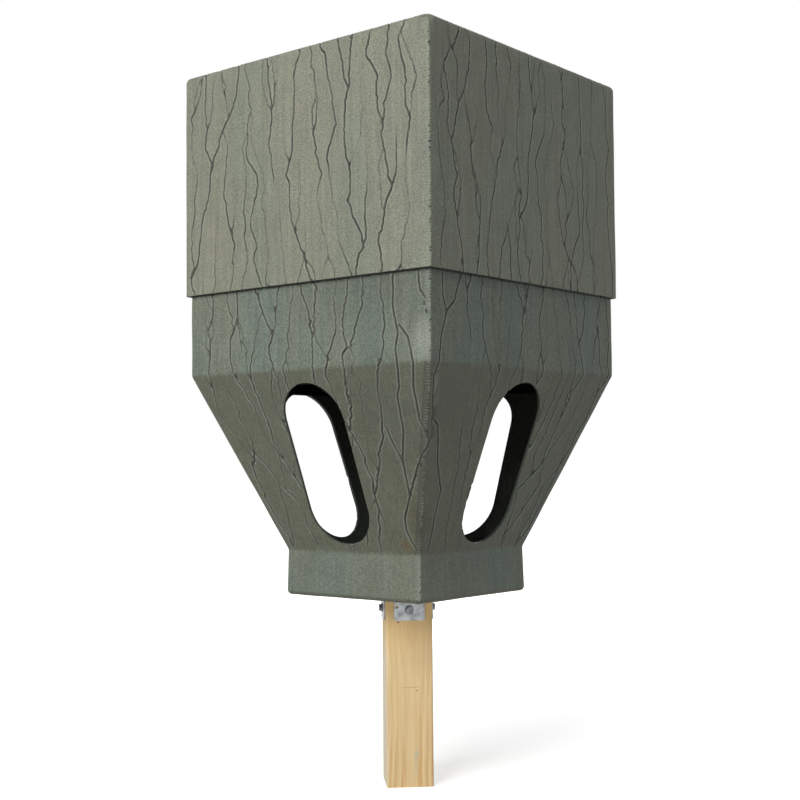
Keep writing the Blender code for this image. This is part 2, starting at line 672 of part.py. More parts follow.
def build_floor_bolts(steel, parent):
    bore = BOLT_DIAMETER / 2 + HOLE_CLEARANCE
    bolt = bolt_mesh()
    washer_rings = [round_ring(WASHER_DIAMETER / 2, 0), round_ring(WASHER_DIAMETER / 2, WASHER_THICKNESS)]
    washer = ring_mesh("floor_washer", bore, washer_rings)
    nut_rings = [hex_ring(NUT_ACROSS_FLATS, 0), hex_ring(NUT_ACROSS_FLATS, NUT_HEIGHT)]
    nut = ring_mesh("bracket_nut", bore, nut_rings)
    washer_height = WALL + SEAT_GAP
    bolt_height = washer_height + WASHER_THICKNESS + SEAT_GAP
    nut_height = -BRACKET_THICKNESS - 2 * SEAT_GAP - NUT_HEIGHT
    stack = [
        ("floor_bolt_", bolt, bolt_height),
        ("floor_washer_", washer, washer_height),
        ("bracket_nut_", nut, nut_height),
    ]
    for name, turn in zip(SIDE_NAMES, QUARTER_TURNS):
        for kind, mesh, height in stack:
            add_object(kind + name, mesh, steel, parent, bolt_place(turn) + Vector((0, 0, height)))


def build_post(timber):
    """A square timber post with eased edges and a pilot hole for each lag screw."""
    bm = bmesh.new()
    bmesh.ops.create_cube(bm, size=1.0)
    bmesh.ops.scale(bm, vec=(POST_WIDTH, POST_WIDTH, POST_LENGTH), verts=bm.verts)
    bmesh.ops.translate(bm, vec=(0, 0, POST_LENGTH / 2), verts=bm.verts)
    upright = [e for e in bm.edges if abs(e.verts[0].co.z - e.verts[1].co.z) > POST_LENGTH / 2]
    round_edges(bm, upright, POST_EDGE_RADIUS, EDGE_STEPS)
    post = add_object("post", mesh_of("post", bm), timber, turn=Matrix.Rotation(POST_TURN, 3, "Z"))
    depth = LAG_LENGTH - BRACKET_THICKNESS + HOLE_CLEARANCE
    surface = POST_WIDTH / 2
    for name, turn in zip(SIDE_NAMES, QUARTER_TURNS):
        side = Matrix.Rotation(turn + POST_TURN, 3, "Z")
        pilot = cylinder_mesh("pilot_" + name, LAG_DIAMETER / 2 + HOLE_CLEARANCE, -depth, DRILL_PAST_WALL)
        place = side @ Vector((0, -surface, UNDERSIDE - LAG_BELOW_TOP))
        cut(post, pilot, None, place, side @ Matrix.Rotation(math.radians(90), 3, "X"))


def add_anchor(name, parent=None, height=0.0):
    anchor = bpy.data.objects.new(name, None)
    bpy.context.scene.collection.objects.link(anchor)
    anchor.parent = parent
    anchor.location.z = height
    return anchor


def main():
    clear_scene()
    moss = material("moulded_moss_green", (0.170, 0.183, 0.146), 0.66)
    dark = material("dark_liner_plastic", (0.030, 0.034, 0.028), 0.50)
    zinc = material("zinc_plated_steel", (0.62, 0.64, 0.66), 0.38, 0.9)
    pine = material("pine_timber", (0.70, 0.50, 0.27), 0.75)
    feeder = add_anchor("feeder_anchor", height=UNDERSIDE)
    lid_slide = add_anchor("lid_slide_anchor", feeder)
    sleeve_slide = add_anchor("sleeve_slide_anchor", feeder)
    build_post(pine)
    build_body(moss, feeder)
    build_lid(moss, lid_slide)
    build_funnel_ring(dark, feeder)
    build_funnel(dark, feeder)
    build_spout(dark, feeder)
    build_sleeve(dark, sleeve_slide)
    build_thumb_screws(zinc, feeder)
    build_brackets(zinc, feeder)
    build_lag_screws(zinc, feeder)
    build_floor_bolts(zinc, feeder)


main()
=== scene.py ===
# %% [markdown]
# The feeder is a square moulded hopper with a slip-over lid. Feed runs down a funnel into a trough, and
# animals reach it through four ports in the tapered neck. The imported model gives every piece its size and
# place, and this lesson gives each piece its surface. We start by loading that model as a fixed frame.

# %% Load the frame
import json
import math

import bmesh
import bpy
import numpy as np
from mathutils import Matrix, Vector, noise
from mathutils.geometry import delaunay_2d_cdt
from mathutils.kdtree import KDTree

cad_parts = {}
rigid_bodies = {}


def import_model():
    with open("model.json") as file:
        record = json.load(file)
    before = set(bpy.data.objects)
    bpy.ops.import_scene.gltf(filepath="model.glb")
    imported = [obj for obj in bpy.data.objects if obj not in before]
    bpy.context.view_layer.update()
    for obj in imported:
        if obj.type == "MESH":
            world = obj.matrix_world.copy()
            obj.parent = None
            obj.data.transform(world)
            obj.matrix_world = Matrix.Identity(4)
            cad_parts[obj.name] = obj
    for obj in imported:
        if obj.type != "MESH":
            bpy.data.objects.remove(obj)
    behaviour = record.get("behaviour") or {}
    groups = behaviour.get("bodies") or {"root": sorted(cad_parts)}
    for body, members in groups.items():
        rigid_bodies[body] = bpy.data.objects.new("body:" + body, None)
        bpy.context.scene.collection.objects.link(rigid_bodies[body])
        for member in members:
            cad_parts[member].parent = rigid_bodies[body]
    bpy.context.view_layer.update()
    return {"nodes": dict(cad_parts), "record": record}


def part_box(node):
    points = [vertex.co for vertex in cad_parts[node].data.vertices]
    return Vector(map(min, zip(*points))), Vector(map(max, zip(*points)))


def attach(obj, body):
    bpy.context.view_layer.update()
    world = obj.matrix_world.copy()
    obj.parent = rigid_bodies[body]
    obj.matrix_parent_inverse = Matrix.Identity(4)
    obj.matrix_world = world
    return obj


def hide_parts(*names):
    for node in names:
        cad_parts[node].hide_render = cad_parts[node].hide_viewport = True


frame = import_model()
scene = bpy.context.scene
bpy.ops.object.select_all(action="DESELECT")

# %% [markdown]
# Widths and heights come from the frame where it has them. The rest are the driving sizes of the two
# mouldings: the heights of the bends, their radii and the ports. The lines of both stop a small margin short
# of their free edges, which are closed later. Everything is in metres.

# %% Sizes of the mouldings
body_low, body_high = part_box("body_shell")
lid_low, lid_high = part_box("lid")
UNDERSIDE = body_low.z
BODY_TOP = body_high.z
UPPER_HALF = body_high.x
LID_HALF = lid_high.x
WALL = 0.0055
CORNER_RADIUS = 0.014
LID_CORNER_RADIUS = 0.017
LID_LEAST_RADIUS = 0.004
NECK_HALF = 0.1655
BASE_HALF = 0.1675
NECK_HEIGHT = 0.086
SHOULDER_HEIGHT = 0.420
BASE_EDGE_RADIUS = 0.009
NECK_BEND_RADIUS = 0.022
SHOULDER_BEND_RADIUS = 0.016
LID_TOP_EDGE_RADIUS = 0.011
LID_CROWN_RISE = 0.006
LID_CROWN_FLAT = 0.060
PORT_WIDTH = 0.145
PORT_LENGTH = 0.317
PORT_ABOVE_NECK = 0.0155
END_MARGIN = 0.001
print(f"lid {2 * LID_HALF:.3f} m wide, body {2 * UPPER_HALF:.3f} m wide, underside at {UNDERSIDE:.4f} m")

# %% [markdown]
# Cut through the middle of a face, each moulding is one bent line. Its corners get true arcs, and the line
# is then a list of half widths and heights with the distance run along it. A point on the moulding is
# given by two numbers: how far round it lies, in faces, and how far along this line.

# %% Profiles
BEND_STEPS = 6


def rounded_profile(corners):
    """(half width, height) points of a line whose corners have their own bend radii."""
    points = [Vector(corners[0][:2])]
    for before, here, after in zip(corners, corners[1:], corners[2:]):
        p = Vector(here[:2])
        back = (Vector(before[:2]) - p).normalized()
        ahead = (Vector(after[:2]) - p).normalized()
        half_angle = back.angle(ahead) / 2
        centre = p + (back + ahead).normalized() * here[2] / math.sin(half_angle)
        first = p + back * here[2] / math.tan(half_angle) - centre
        last = p + ahead * here[2] / math.tan(half_angle) - centre
        for i in range(BEND_STEPS + 1):
            points.append(centre + first.lerp(last, i / BEND_STEPS).normalized() * here[2])
    return np.array([tuple(p) for p in points + [Vector(corners[-1][:2])]])


def make_profile(corners, corner_radius):
    line = rounded_profile(corners)
    steps = np.linalg.norm(np.diff(line, axis=0), axis=1)
    along = np.concatenate([[0], np.cumsum(steps)])
    direction = np.gradient(line, along, axis=0)
    direction /= np.linalg.norm(direction, axis=1)[:, None]
    radius = np.full(len(line), corner_radius)
    return {"line": line, "along": along, "direction": direction, "radius": radius}


body_profile = make_profile(
    [
        (BASE_HALF - BASE_EDGE_RADIUS - END_MARGIN, UNDERSIDE, 0),
        (BASE_HALF, UNDERSIDE, BASE_EDGE_RADIUS),
        (NECK_HALF, UNDERSIDE + NECK_HEIGHT, NECK_BEND_RADIUS),
        (UPPER_HALF, UNDERSIDE + SHOULDER_HEIGHT, SHOULDER_BEND_RADIUS),
        (UPPER_HALF, BODY_TOP - END_MARGIN, 0),
    ],
    CORNER_RADIUS,
)
edge_rows = body_profile["line"][:, 1] < UNDERSIDE + BASE_EDGE_RADIUS
body_profile["radius"][edge_rows] += body_profile["line"][edge_rows, 0] - BASE_HALF

LID_TOP = lid_high.z - LID_CROWN_RISE
lid_profile = make_profile(
    [
        (LID_HALF, lid_low.z + END_MARGIN, 0),
        (LID_HALF, LID_TOP, LID_TOP_EDGE_RADIUS),
        (LID_CROWN_FLAT, lid_high.z, 0),
    ],
    LID_CORNER_RADIUS,
)
lid_radius = lid_profile["radius"] + lid_profile["line"][:, 0] - LID_HALF
lid_profile["radius"] = np.maximum(lid_radius, LID_LEAST_RADIUS)
print("profile lengths:", body_profile["along"][-1].round(3), lid_profile["along"][-1].round(3))

# %% [markdown]
# One turn round the moulding is four quarters. Each quarter is a rounded corner, which takes a small share
# of it, and then a flat face. The surface can also be lifted along its normal, which is how the bark's
# grooves and lips, and the inside of the wall, are made.

# %% Points on a moulding
CORNER_SHARE = 0.04
CORNER_STEPS = 6


def at(profile, key, v):
    column = profile["line"] if key in ("half", "height") else profile["direction"]
    pick = {"half": 0, "height": 1, "out": 0, "up": 1}[key]
    return np.interp(v, profile["along"], column[:, pick])


def corner_radius(profile, v):
    return np.interp(v, profile["along"], profile["radius"])


def face_width(profile, v):
    return 2 * (at(profile, "half", v) - corner_radius(profile, v))


def place(profile, u, v, lift=0.0):
    """Points of the moulding at turn u (0 to 4) and line distance v, lifted along the surface normal."""
    quarter = np.minimum(np.floor(u), 3)
    t = u - quarter
    half, height = at(profile, "half", v), at(profile, "height", v)
    out, up = at(profile, "out", v), at(profile, "up", v)
    radius = corner_radius(profile, v)
    reach = half - radius
    angle = np.minimum(t / CORNER_SHARE, 1) * math.pi / 2
    across = np.clip((t - CORNER_SHARE) / (1 - CORNER_SHARE), 0, 1)
    x = reach + radius * np.cos(angle) - 2 * reach * across
    y = reach + radius * np.sin(angle)
    spread = np.where(t < CORNER_SHARE, np.cos(angle) + np.sin(angle), 1.0)
    normal = np.stack([np.cos(angle) * up, np.sin(angle) * up, -out * spread], axis=-1)
    normal /= np.linalg.norm(normal, axis=-1)[..., None]
    point = np.stack([x, y, height], axis=-1) + normal * np.asarray(lift)[..., None]
    turn = quarter * math.pi / 2
    c, s = np.cos(turn), np.sin(turn)
    px, py = point[..., 0] * c - point[..., 1] * s, point[..., 0] * s + point[..., 1] * c
    return np.stack([px, py, point[..., 2]], axis=-1)


print("corner of the lid:", place(lid_profile, np.array([0.5 * CORNER_SHARE]), np.array([0.1])).round(3))

# %% [markdown]
# The mouldings copy cracked bark: thin dark cracks that wander down each face, fork and meet, each with a
# slightly raised lip. They are grown here as a tree's bark grows them. Cracks start at the top of a face
# and walk down. Each keeps a heading that drifts and now and then kinks. Where two come close one ends in
# the other, and where a gap opens a new crack forks off. A picture of cracks would be flat from the side, so
# they are real grooves in the mesh.

# %% Grow the cracks of one face
STEP = 0.006
EDGE_MARGIN = 0.008
GAP_WANTED = 0.036
GAP_MOST = 0.060
GAP_DRAWN = 0.019
GAP_LEAST = 0.0035
OPEN_SIDE_SHARE = 0.6
PLACED_SHARE = 0.15
JOG = 0.0006
KINK_CHANCE = 0.035
FORK_CHANCE = 0.7
YOUNG_POINTS = 8


def grow_cracks(profile, top, bottom, seed, kept_free=0):
    """Polylines of (across 0 to 1, v, strength) on one face, from v = top down to v = bottom.

    kept_free is -1 or 1 where the strip at the face's start or end is left for the listed cracks.
    """
    random = np.random.default_rng(seed)
    width = float(face_width(profile, top))
    low, high = span_of(width, kept_free)
    count = int(width * (high - low) / GAP_WANTED)
    spots = low + (high - low) * (np.arange(count) + 0.5 + random.uniform(-0.3, 0.3, count)) / count
    live = [new_crack(random, spot, top, random.normal(0, 0.15), 1.0) for spot in spots]
    done = []
    v = top
    while v > bottom:
        v = max(v - STEP, bottom)
        width = float(face_width(profile, v))
        span = span_of(width, kept_free)
        for crack in live:
            walk(random, crack, v, width, span)
        live.sort(key=lambda crack: crack["points"][-1][0])
        live, ended = meet(live, width)
        done += ended
        live += fork(random, live, v, width, span)
        for crack in [c for c in live if c["life"] <= 0]:
            fade(crack)
            live.remove(crack)
            done.append(crack)
    return [roughened(random, np.array(c["points"]), width) for c in done + live if len(c["points"]) > 2]


def roughened(random, crack, width):
    """Small sideways jogs and uneven depth, with the two ends left where they are."""
    inner = slice(1, len(crack) - 1)
    crack[inner, 0] += random.normal(0, JOG, len(crack) - 2) / width
    crack[inner, 2] *= random.uniform(0.7, 1.25, len(crack) - 2)
    return crack


def span_of(width, kept_free):
    """The part of the face, from 0 to 1, in which cracks grow."""
    margin = EDGE_MARGIN / width
    return (PLACED_SHARE if kept_free < 0 else margin, 1 - (PLACED_SHARE if kept_free > 0 else margin))


def new_crack(random, across, v, slope, strength):
    return {
        "points": [(across, v, strength * 0.5)],
        "slope": slope,
        "run": random.integers(4, 10),
        "force": strength * random.uniform(0.5, 1.05),
        "life": int(random.exponential(320)) + 25,
        "merge": random.random() < 0.55,
    }


def walk(random, crack, v, width, span):
    """One step down: straight runs a few centimetres long, with small turns and a rare kink between."""
    across, _, strength = crack["points"][-1]
    crack["run"] -= 1
    if crack["run"] <= 0:
        crack["run"] = random.integers(3, 11)
        crack["slope"] = float(np.clip(random.normal(0, 0.24), -0.5, 0.5))
        crack["force"] = float(np.clip(crack["force"] + random.normal(0, 0.3), 0.3, 1.0))
    kink = random.choice([-0.9, 0.9]) * random.uniform(0.5, 1) if random.random() < KINK_CHANCE else 0.0
    across += (crack["slope"] + kink + random.normal(0, 0.09)) * STEP / width
    if not span[0] < across < span[1]:
        across = float(np.clip(across, *span))
        crack["slope"] = -0.6 * crack["slope"]
    strength += 0.3 * (crack["force"] * random.uniform(0.7, 1.2) - strength)
    crack["points"].append((across, v, strength))
    crack["life"] -= 1


def meet(live, width):
    """Draws neighbours together or apart, and ends the weaker of two that have met in the other."""
    ended = []
    kept = []
    for crack in live:
        if kept:
            other = kept[-1]
            gap = (crack["points"][-1][0] - other["points"][-1][0]) * width
            young = min(len(crack["points"]), len(other["points"])) < YOUNG_POINTS
            if gap < GAP_LEAST and not young:
                weak, strong = sorted((crack, other), key=lambda c: c["force"])
                a, v, _ = strong["points"][-1]
                weak["points"][-1] = (a, v, 1.0)
                strong["points"][-1] = (a, v, 1.15)
                ended.append(weak)
                kept[-1] = strong
                continue
            if gap < GAP_DRAWN and not young:
                pull = 0.09 if crack["merge"] or other["merge"] else -0.12
                crack["slope"] -= pull
                other["slope"] += pull
        kept.append(crack)
    return kept, ended


def fork(random, live, v, width, span):
    """New cracks in the gaps that have opened, most of them split off a neighbour."""
    added = []
    edges = [None] + live + [None]
    for left, right in zip(edges, edges[1:]):
        low = left["points"][-1][0] if left else span[0]
        high = right["points"][-1][0] if right else span[1]
        gap = (high - low) * width
        wide = GAP_MOST if left and right else GAP_MOST * OPEN_SIDE_SHARE
        if gap < wide * random.uniform(0.85, 1.3):
            continue
        if random.random() < FORK_CHANCE and (left or right):
            parent = random.choice([c for c in (left, right) if c])
            side = 1 if parent is left else -1
            crack = new_crack(random, parent["points"][-1][0], v, side * random.uniform(0.3, 0.55), 0.75)
            parent["slope"] -= side * random.uniform(0.1, 0.3)
        else:
            crack = new_crack(random, low + (high - low) * random.uniform(0.35, 0.65), v, 0.0, 0.3)
        added.append(crack)
    return added


def fade(crack):
    for i, share in zip((-1, -2, -3, -4), (0.05, 0.3, 0.55, 0.8)):
        if len(crack["points"]) >= -i:
            across, v, strength = crack["points"][i]
            crack["points"][i] = (across, v, strength * share)


trial = grow_cracks(lid_profile, 0.42, 0.0, 1)
print(len(trial), "cracks on a trial face,", sum(len(c) for c in trial), "points")

# %% [markdown]
# Beside the front corner of the body the cracks are given one by one, because one of them tears right across
# the corner. Each is a few points: how far from the sharp corner, with the first face negative, and how
# high above the underside. The opposite corner was made by the same edge of the mould and has the same ones.

# %% Cracks listed beside a corner
CORNER_CRACKS = (
    (
        (0.035, 0.567), (0.036, 0.531), (0.045, 0.505), (0.031, 0.464), (0.024, 0.418), (0.011, 0.395),
        (0.013, 0.332), (0.014, 0.295), (-0.006, 0.265), (-0.017, 0.239), (-0.029, 0.192), (-0.038, 0.154),
        (-0.034, 0.133), (-0.019, 0.110), (-0.004, 0.094),
    ),
    ((0.084, 0.567), (0.069, 0.526), (0.045, 0.505)),
    (
        (0.014, 0.330), (0.031, 0.315), (0.036, 0.252), (0.050, 0.203), (0.037, 0.157), (0.032, 0.128),
        (0.023, 0.096),
    ),
    ((-0.024, 0.567), (-0.020, 0.538), (-0.008, 0.524)),
    (
        (-0.079, 0.567), (-0.079, 0.512), (-0.069, 0.471), (-0.075, 0.442), (-0.064, 0.381), (-0.067, 0.364),
        (-0.050, 0.304), (-0.049, 0.254), (-0.036, 0.215), (-0.029, 0.192),
    ),
    ((-0.066, 0.483), (-0.047, 0.462), (-0.036, 0.418), (-0.033, 0.380), (-0.016, 0.323), (-0.004, 0.309)),
    ((-0.088, 0.311), (-0.076, 0.290), (-0.049, 0.254)),
)
PARTING_CORNERS = (1, 3)
WOBBLE = 0.0006


def placed_cracks(profile, seed):
    """The listed cracks as arrays of (distance past the corner, v, strength), a step apart."""
    random = np.random.default_rng(seed)
    made = []
    for corners in CORNER_CRACKS:
        spots = []
        for (s0, h0), (s1, h1) in zip(corners, corners[1:]):
            count = max(1, round(math.hypot(s1 - s0, h1 - h0) / STEP))
            spots += [(s0 + (s1 - s0) * i / count, h0 + (h1 - h0) * i / count) for i in range(count)]
        spots = np.array(spots + [corners[-1]])
        past = spots[:, 0] + random.uniform(-WOBBLE, WOBBLE, len(spots))
        v = np.interp(UNDERSIDE + spots[:, 1], profile["line"][:, 1], profile["along"])
        strength = random.uniform(0.75, 1.25, len(spots))
        strength[-1] = 0.6
        made.append(np.stack([past, v, strength], axis=1))
    return made


def past_corner(profile, side, x, v):
    """Distance past the sharp corner of a face's points: its start is that corner, or its end."""
    return -side * (face_width(profile, v) / 2 - side * x + corner_radius(profile, v))


def placed_on_face(profile, placed, side):
    """The stretches of the listed cracks that lie on one face, as (across, v, strength)."""
    stretches = []
    for crack in placed:
        past, v = crack[:, 0], crack[:, 1]
        width = face_width(profile, v)
        x = side * (width / 2 + corner_radius(profile, v)) + past
        inside = -side * past > corner_radius(profile, v) + 0.0005
        run = []
        for i in range(len(crack)):
            if inside[i]:
                run.append((x[i] / width[i] + 0.5, v[i], crack[i, 2]))
            if not inside[i] or i == len(crack) - 1:
                if len(run) > 2:
                    stretches.append(np.array(run))
                run = []
    return stretches


placed = placed_cracks(body_profile, 5)
print(len(placed), "cracks placed by hand,", sum(len(c) for c in placed), "points")

# %% [markdown]
# A fine even grid would waste faces between the cracks and still draw them with stairs. So the mesh is
# made to measure: points along each crack, points beside it where the lip stands and where it ends, and a
# loose grid elsewhere. A constrained Delaunay triangulation joins them, in the flat plane of the unrolled
# moulding, and keeps each crack's centre line as a row of edges.

# %% Groove shape and point sets
GROOVE_HALF = 0.0028
LIP_END = 0.0064
GROOVE_DEPTH = 0.0022
LIP_HEIGHT = 0.0006
CLEAR_OF_CRACK = 0.0074


def groove_lift(distance, strength):
    inside = np.clip(1 - distance / GROOVE_HALF, 0, 1)
    beyond = np.clip((distance - GROOVE_HALF) / (LIP_END - GROOVE_HALF), 0, 1)
    lip = (1 - beyond) ** 2 * np.clip(distance / GROOVE_HALF, 0, 1)
    return strength * (lip * LIP_HEIGHT - inside * GROOVE_DEPTH)


def flat_spot(profile, across, v):
    return (across - 0.5) * face_width(profile, v), v


def line_tree(lines):
    """A search tree over closely spaced points of lines of (x, y, strength), and their strengths."""
    spots = []
    for line in lines:
        for first, second in zip(line, line[1:]):
            spots += [first + (second - first) * share for share in np.linspace(0, 1, 6)[:-1]]
        spots.append(line[-1])
    tree = KDTree(len(spots))
    for i, (x, y, _) in enumerate(spots):
        tree.insert((x, y, 0), i)
    tree.balance()
    return tree, np.array(spots)[:, 2]


def crack_tree(profile, cracks):
    return line_tree([np.stack([*flat_spot(profile, c[:, 0], c[:, 1]), c[:, 2]], axis=1) for c in cracks])


def near_cracks(tree, strengths, flat):
    """Distance of flat points to the nearest crack, and its strength there."""
    distance = np.empty(len(flat))
    strength = np.empty(len(flat))
    for i, (x, y) in enumerate(flat):
        _, index, distance[i] = tree.find((x, y, 0))
        strength[i] = strengths[index]
    return distance, strength


def groove_and_lip(distance, strength):
    """The two colour attributes of points at a distance from a crack."""
    groove = strength * np.clip(1 - distance / GROOVE_HALF, 0, 1)
    lip = strength * np.clip(1 - np.abs(distance - GROOVE_HALF) / (LIP_END - GROOVE_HALF), 0, 1)
    return groove, lip


def crack_points(profile, cracks, tree, strengths):
    """Centre points with their joining edges, and the side points that stay clear of other cracks."""
    centre, edges, side = [], [], []
    for crack in cracks:
        line = np.stack(flat_spot(profile, crack[:, 0], crack[:, 1]), axis=1)
        direction = np.gradient(line, axis=0)
        direction /= np.linalg.norm(direction, axis=1)[:, None]
        sideways = np.stack([-direction[:, 1], direction[:, 0]], axis=1)
        edges += [(len(centre) + i, len(centre) + i + 1) for i in range(len(crack) - 1)]
        centre += list(line)
        for reach in (GROOVE_HALF, LIP_END):
            for sign in (-1, 1):
                beside = line + sign * reach * sideways
                distance, _ = near_cracks(tree, strengths, beside)
                side += list(beside[distance > 0.8 * reach])
    return np.array(centre), edges, np.array(side)


print(f"a full crack is {GROOVE_DEPTH * 1000:.1f} mm deep, with a lip of {LIP_HEIGHT * 1000:.1f} mm")

# %% [markdown]
# Each port is a round-ended slot in a tapered face. Its outline is a loop of edges in the same plane, so
# the triangulation leaves a clean edge there, and what lies inside the loop is thrown away. That is much
# quicker than a Boolean on a mesh this fine.

# %% Port outline
TAPER_START = float(np.interp(UNDERSIDE + NECK_HEIGHT, body_profile["line"][:, 1], body_profile["along"]))
TAPER_LEAN = math.atan2(UPPER_HALF - NECK_HALF, SHOULDER_HEIGHT - NECK_HEIGHT)
LOOP_STEP = 0.0022


def port_loop():
    """Points of the port's outline as (sideways, v), anticlockwise."""
    radius = PORT_WIDTH / 2
    straight = PORT_LENGTH / 2 - radius
    middle_height = UNDERSIDE + NECK_HEIGHT + (PORT_ABOVE_NECK + PORT_LENGTH / 2) * math.cos(TAPER_LEAN)
    middle = float(np.interp(middle_height, body_profile["line"][:, 1], body_profile["along"]))
    arc_count = int(math.pi * radius / LOOP_STEP)
    side_count = int(2 * straight / LOOP_STEP)
    points = []
    for end, start in ((1, 0.0), (-1, math.pi)):
        for i in range(arc_count):
            angle = start + math.pi * i / arc_count
            points.append((radius * math.cos(angle), middle + end * straight + radius * math.sin(angle)))
        for i in range(side_count):
            points.append((-end * radius, middle + end * (straight - 2 * straight * i / side_count)))
    return np.array(points), middle, straight, radius


def inside_port(sideways, v, grow=0.0):
    _, middle, straight, radius = PORT
    past = np.maximum(np.abs(v - middle) - straight, 0)
    return np.hypot(sideways, past) < radius + grow


PORT = port_loop()
print("port outline has", len(PORT[0]), "points, centred", round(PORT[1], 3), "m along the profile")

# %% [markdown]
# One face of a moulding is triangulated in its own flat plane, where a tapered face is a tapered panel.
# Its outline, its port and its cracks go in as fixed edges. Rows of points follow the two bends, so that
# the curved parts stay round. The same function makes the plain inside of the wall, with no cracks in it.

# %% Triangulate one face
ROW_STEP = 0.0026
ROOF_ROW_STEP = 0.012
BEND_ROW_STEP = 0.012
END_STEP = 0.012
END_LEAST = 0.0012
CRACK_ENDS_LEAST = 0.00002
BESIDE_LIP = 0.002
PORT_CLEAR = 0.0022
GRID_PAST_PORT = 0.002
SIDE_POINT_MARGIN = 0.001
SIDE_POINT_INSET = 0.0006
OUTSIDE_FACE = 0.0001
ROUNDING = 0.000003
FACE_TOLERANCE = 1e-5


def edge_rows_of(profile, wall_step):
    """The line distances at which the upright edges of a face have points."""
    along = profile["along"]
    rows = []
    for v0, v1 in zip(along, along[1:]):
        roof = abs(at(profile, "up", (v0 + v1) / 2)) < 0.3
        count = math.ceil((v1 - v0) / (ROOF_ROW_STEP if roof else wall_step))
        rows += [v0 + (v1 - v0) * i / count for i in range(count)]
    return np.array(rows + [along[-1]])


def end_row(profile, cracks, v):
    """Points across a free edge: evenly spaced, and at each crack that reaches it."""
    width = float(face_width(profile, v))
    count = int(width / END_STEP)
    spots = [-width / 2 + width * i / count for i in range(count + 1)]
    crack_ends = set()
    for crack in cracks:
        for across, crack_v, _ in (crack[0], crack[-1]):
            if abs(crack_v - v) < 1e-9:
                x = (across - 0.5) * width
                crack_ends.add(x)
                clear = LIP_END + BESIDE_LIP
                spots = [s for s in spots if abs(s - x) > clear or abs(s) > width / 2 - 1e-6]
                spots += [x - LIP_END, x - GROOVE_HALF, x, x + GROOVE_HALF, x + LIP_END]
    spots = sorted({s for s in spots if abs(s) <= width / 2 + 1e-9} | crack_ends)
    kept = [spots[0]]
    for s in spots[1:]:
        near = s - kept[-1] < END_LEAST
        if near and s in crack_ends and kept[-1] not in crack_ends and len(kept) > 1:
            kept[-1] = s
        elif not near or (s in crack_ends and s - kept[-1] > CRACK_ENDS_LEAST):
            kept.append(s)
    kept[-1] = width / 2
    return np.array(kept)


def outline_of(profile, rows, low_row, high_row):
    """The face's outline as one loop, anticlockwise from its lower left corner."""
    half = face_width(profile, rows) / 2
    loop = [(x, rows[0]) for x in low_row[:-1]]
    loop += list(zip(half[:-1], rows[:-1]))
    loop += [(x, rows[-1]) for x in high_row[:0:-1]]
    loop += list(zip(-half[:0:-1], rows[:0:-1]))
    return loop


def triangulated(points, edges, tolerance):
    """Flat points, and triangles between them that keep the given edges."""
    spots = [Vector((float(x), float(y))) for x, y in points]
    made = delaunay_2d_cdt(spots, edges, [], 1, tolerance, False)
    return np.array([tuple(p) for p in made[0]]), np.array(made[2])


def triangulate_face(profile, rows, low_row, high_row, cracks, with_port, grid):
    """Flat points, triangles and the triangulation's own copy of the port's loop, if it has one."""
    points = outline_of(profile, rows, low_row, high_row)
    edges = [(i, (i + 1) % len(points)) for i in range(len(points))]
    if with_port:
        start = len(points)
        points += [tuple(p) for p in PORT[0]]
        edges += [(start + i, start + (i + 1) % len(PORT[0])) for i in range(len(PORT[0]))]
    inner = []
    for v in bend_rows(profile):
        half = face_width(profile, v) / 2 - BEND_ROW_STEP / 2
        inner += [(x, v) for x in np.linspace(-half, half, int(2 * half / BEND_ROW_STEP))]
    for j, v in enumerate(np.arange(rows[0] + grid / 2, rows[-1] - grid / 3, grid)):
        half = face_width(profile, v) / 2 - grid / 3
        count = max(2, int(2 * half / grid))
        shift = (j % 2 - 0.5) * half / count
        inner += [(x + shift, v) for x in np.linspace(-half + abs(shift), half - abs(shift), count)]
    inner = np.array(inner)
    keep = np.ones(len(inner), bool)
    if with_port:
        keep &= ~inside_port(inner[:, 0], inner[:, 1], PORT_CLEAR + GRID_PAST_PORT)
    if cracks:
        tree, strengths = crack_tree(profile, cracks)
        keep &= near_cracks(tree, strengths, inner)[0] > CLEAR_OF_CRACK
        centre, centre_edges, side = crack_points(profile, cracks, tree, strengths)
        low, high = rows[0] + SIDE_POINT_MARGIN, rows[-1] - SIDE_POINT_MARGIN
        inside = (side[:, 1] > low) & (side[:, 1] < high)
        inside &= np.abs(side[:, 0]) < face_width(profile, side[:, 1]) / 2 - SIDE_POINT_INSET
        blocked = np.zeros(len(centre), bool)
        if with_port:
            inside &= ~inside_port(side[:, 0], side[:, 1], PORT_CLEAR)
            blocked = inside_port(centre[:, 0], centre[:, 1], PORT_CLEAR)
        start = len(points)
        number = np.cumsum(~blocked) - 1 + start
        points += [tuple(p) for p in centre[~blocked]]
        edges += [(number[a], number[b]) for a, b in centre_edges if not (blocked[a] or blocked[b])]
        points += [tuple(p) for p in side[inside]]
    points += [tuple(p) for p in inner[keep]]
    edges = [(int(a), int(b)) for a, b in edges]
    flat, triangles = triangulated(points, edges, FACE_TOLERANCE)
    middle = flat[triangles].mean(axis=1)
    reach = np.abs(flat[:, 0]) - face_width(profile, flat[:, 1]) / 2
    past_side = np.abs(middle[:, 0]) - face_width(profile, middle[:, 1]) / 2
    one_side = np.abs(np.sign(flat[triangles][:, :, 0]).sum(axis=1)) == 3
    on_side = one_side & (reach[triangles] > -ROUNDING).all(axis=1)
    wanted = (past_side < OUTSIDE_FACE) & ~(on_side & (past_side > -ROUNDING))
    if with_port:
        wanted &= ~inside_port(middle[:, 0], middle[:, 1])
    return flat, triangles[wanted]


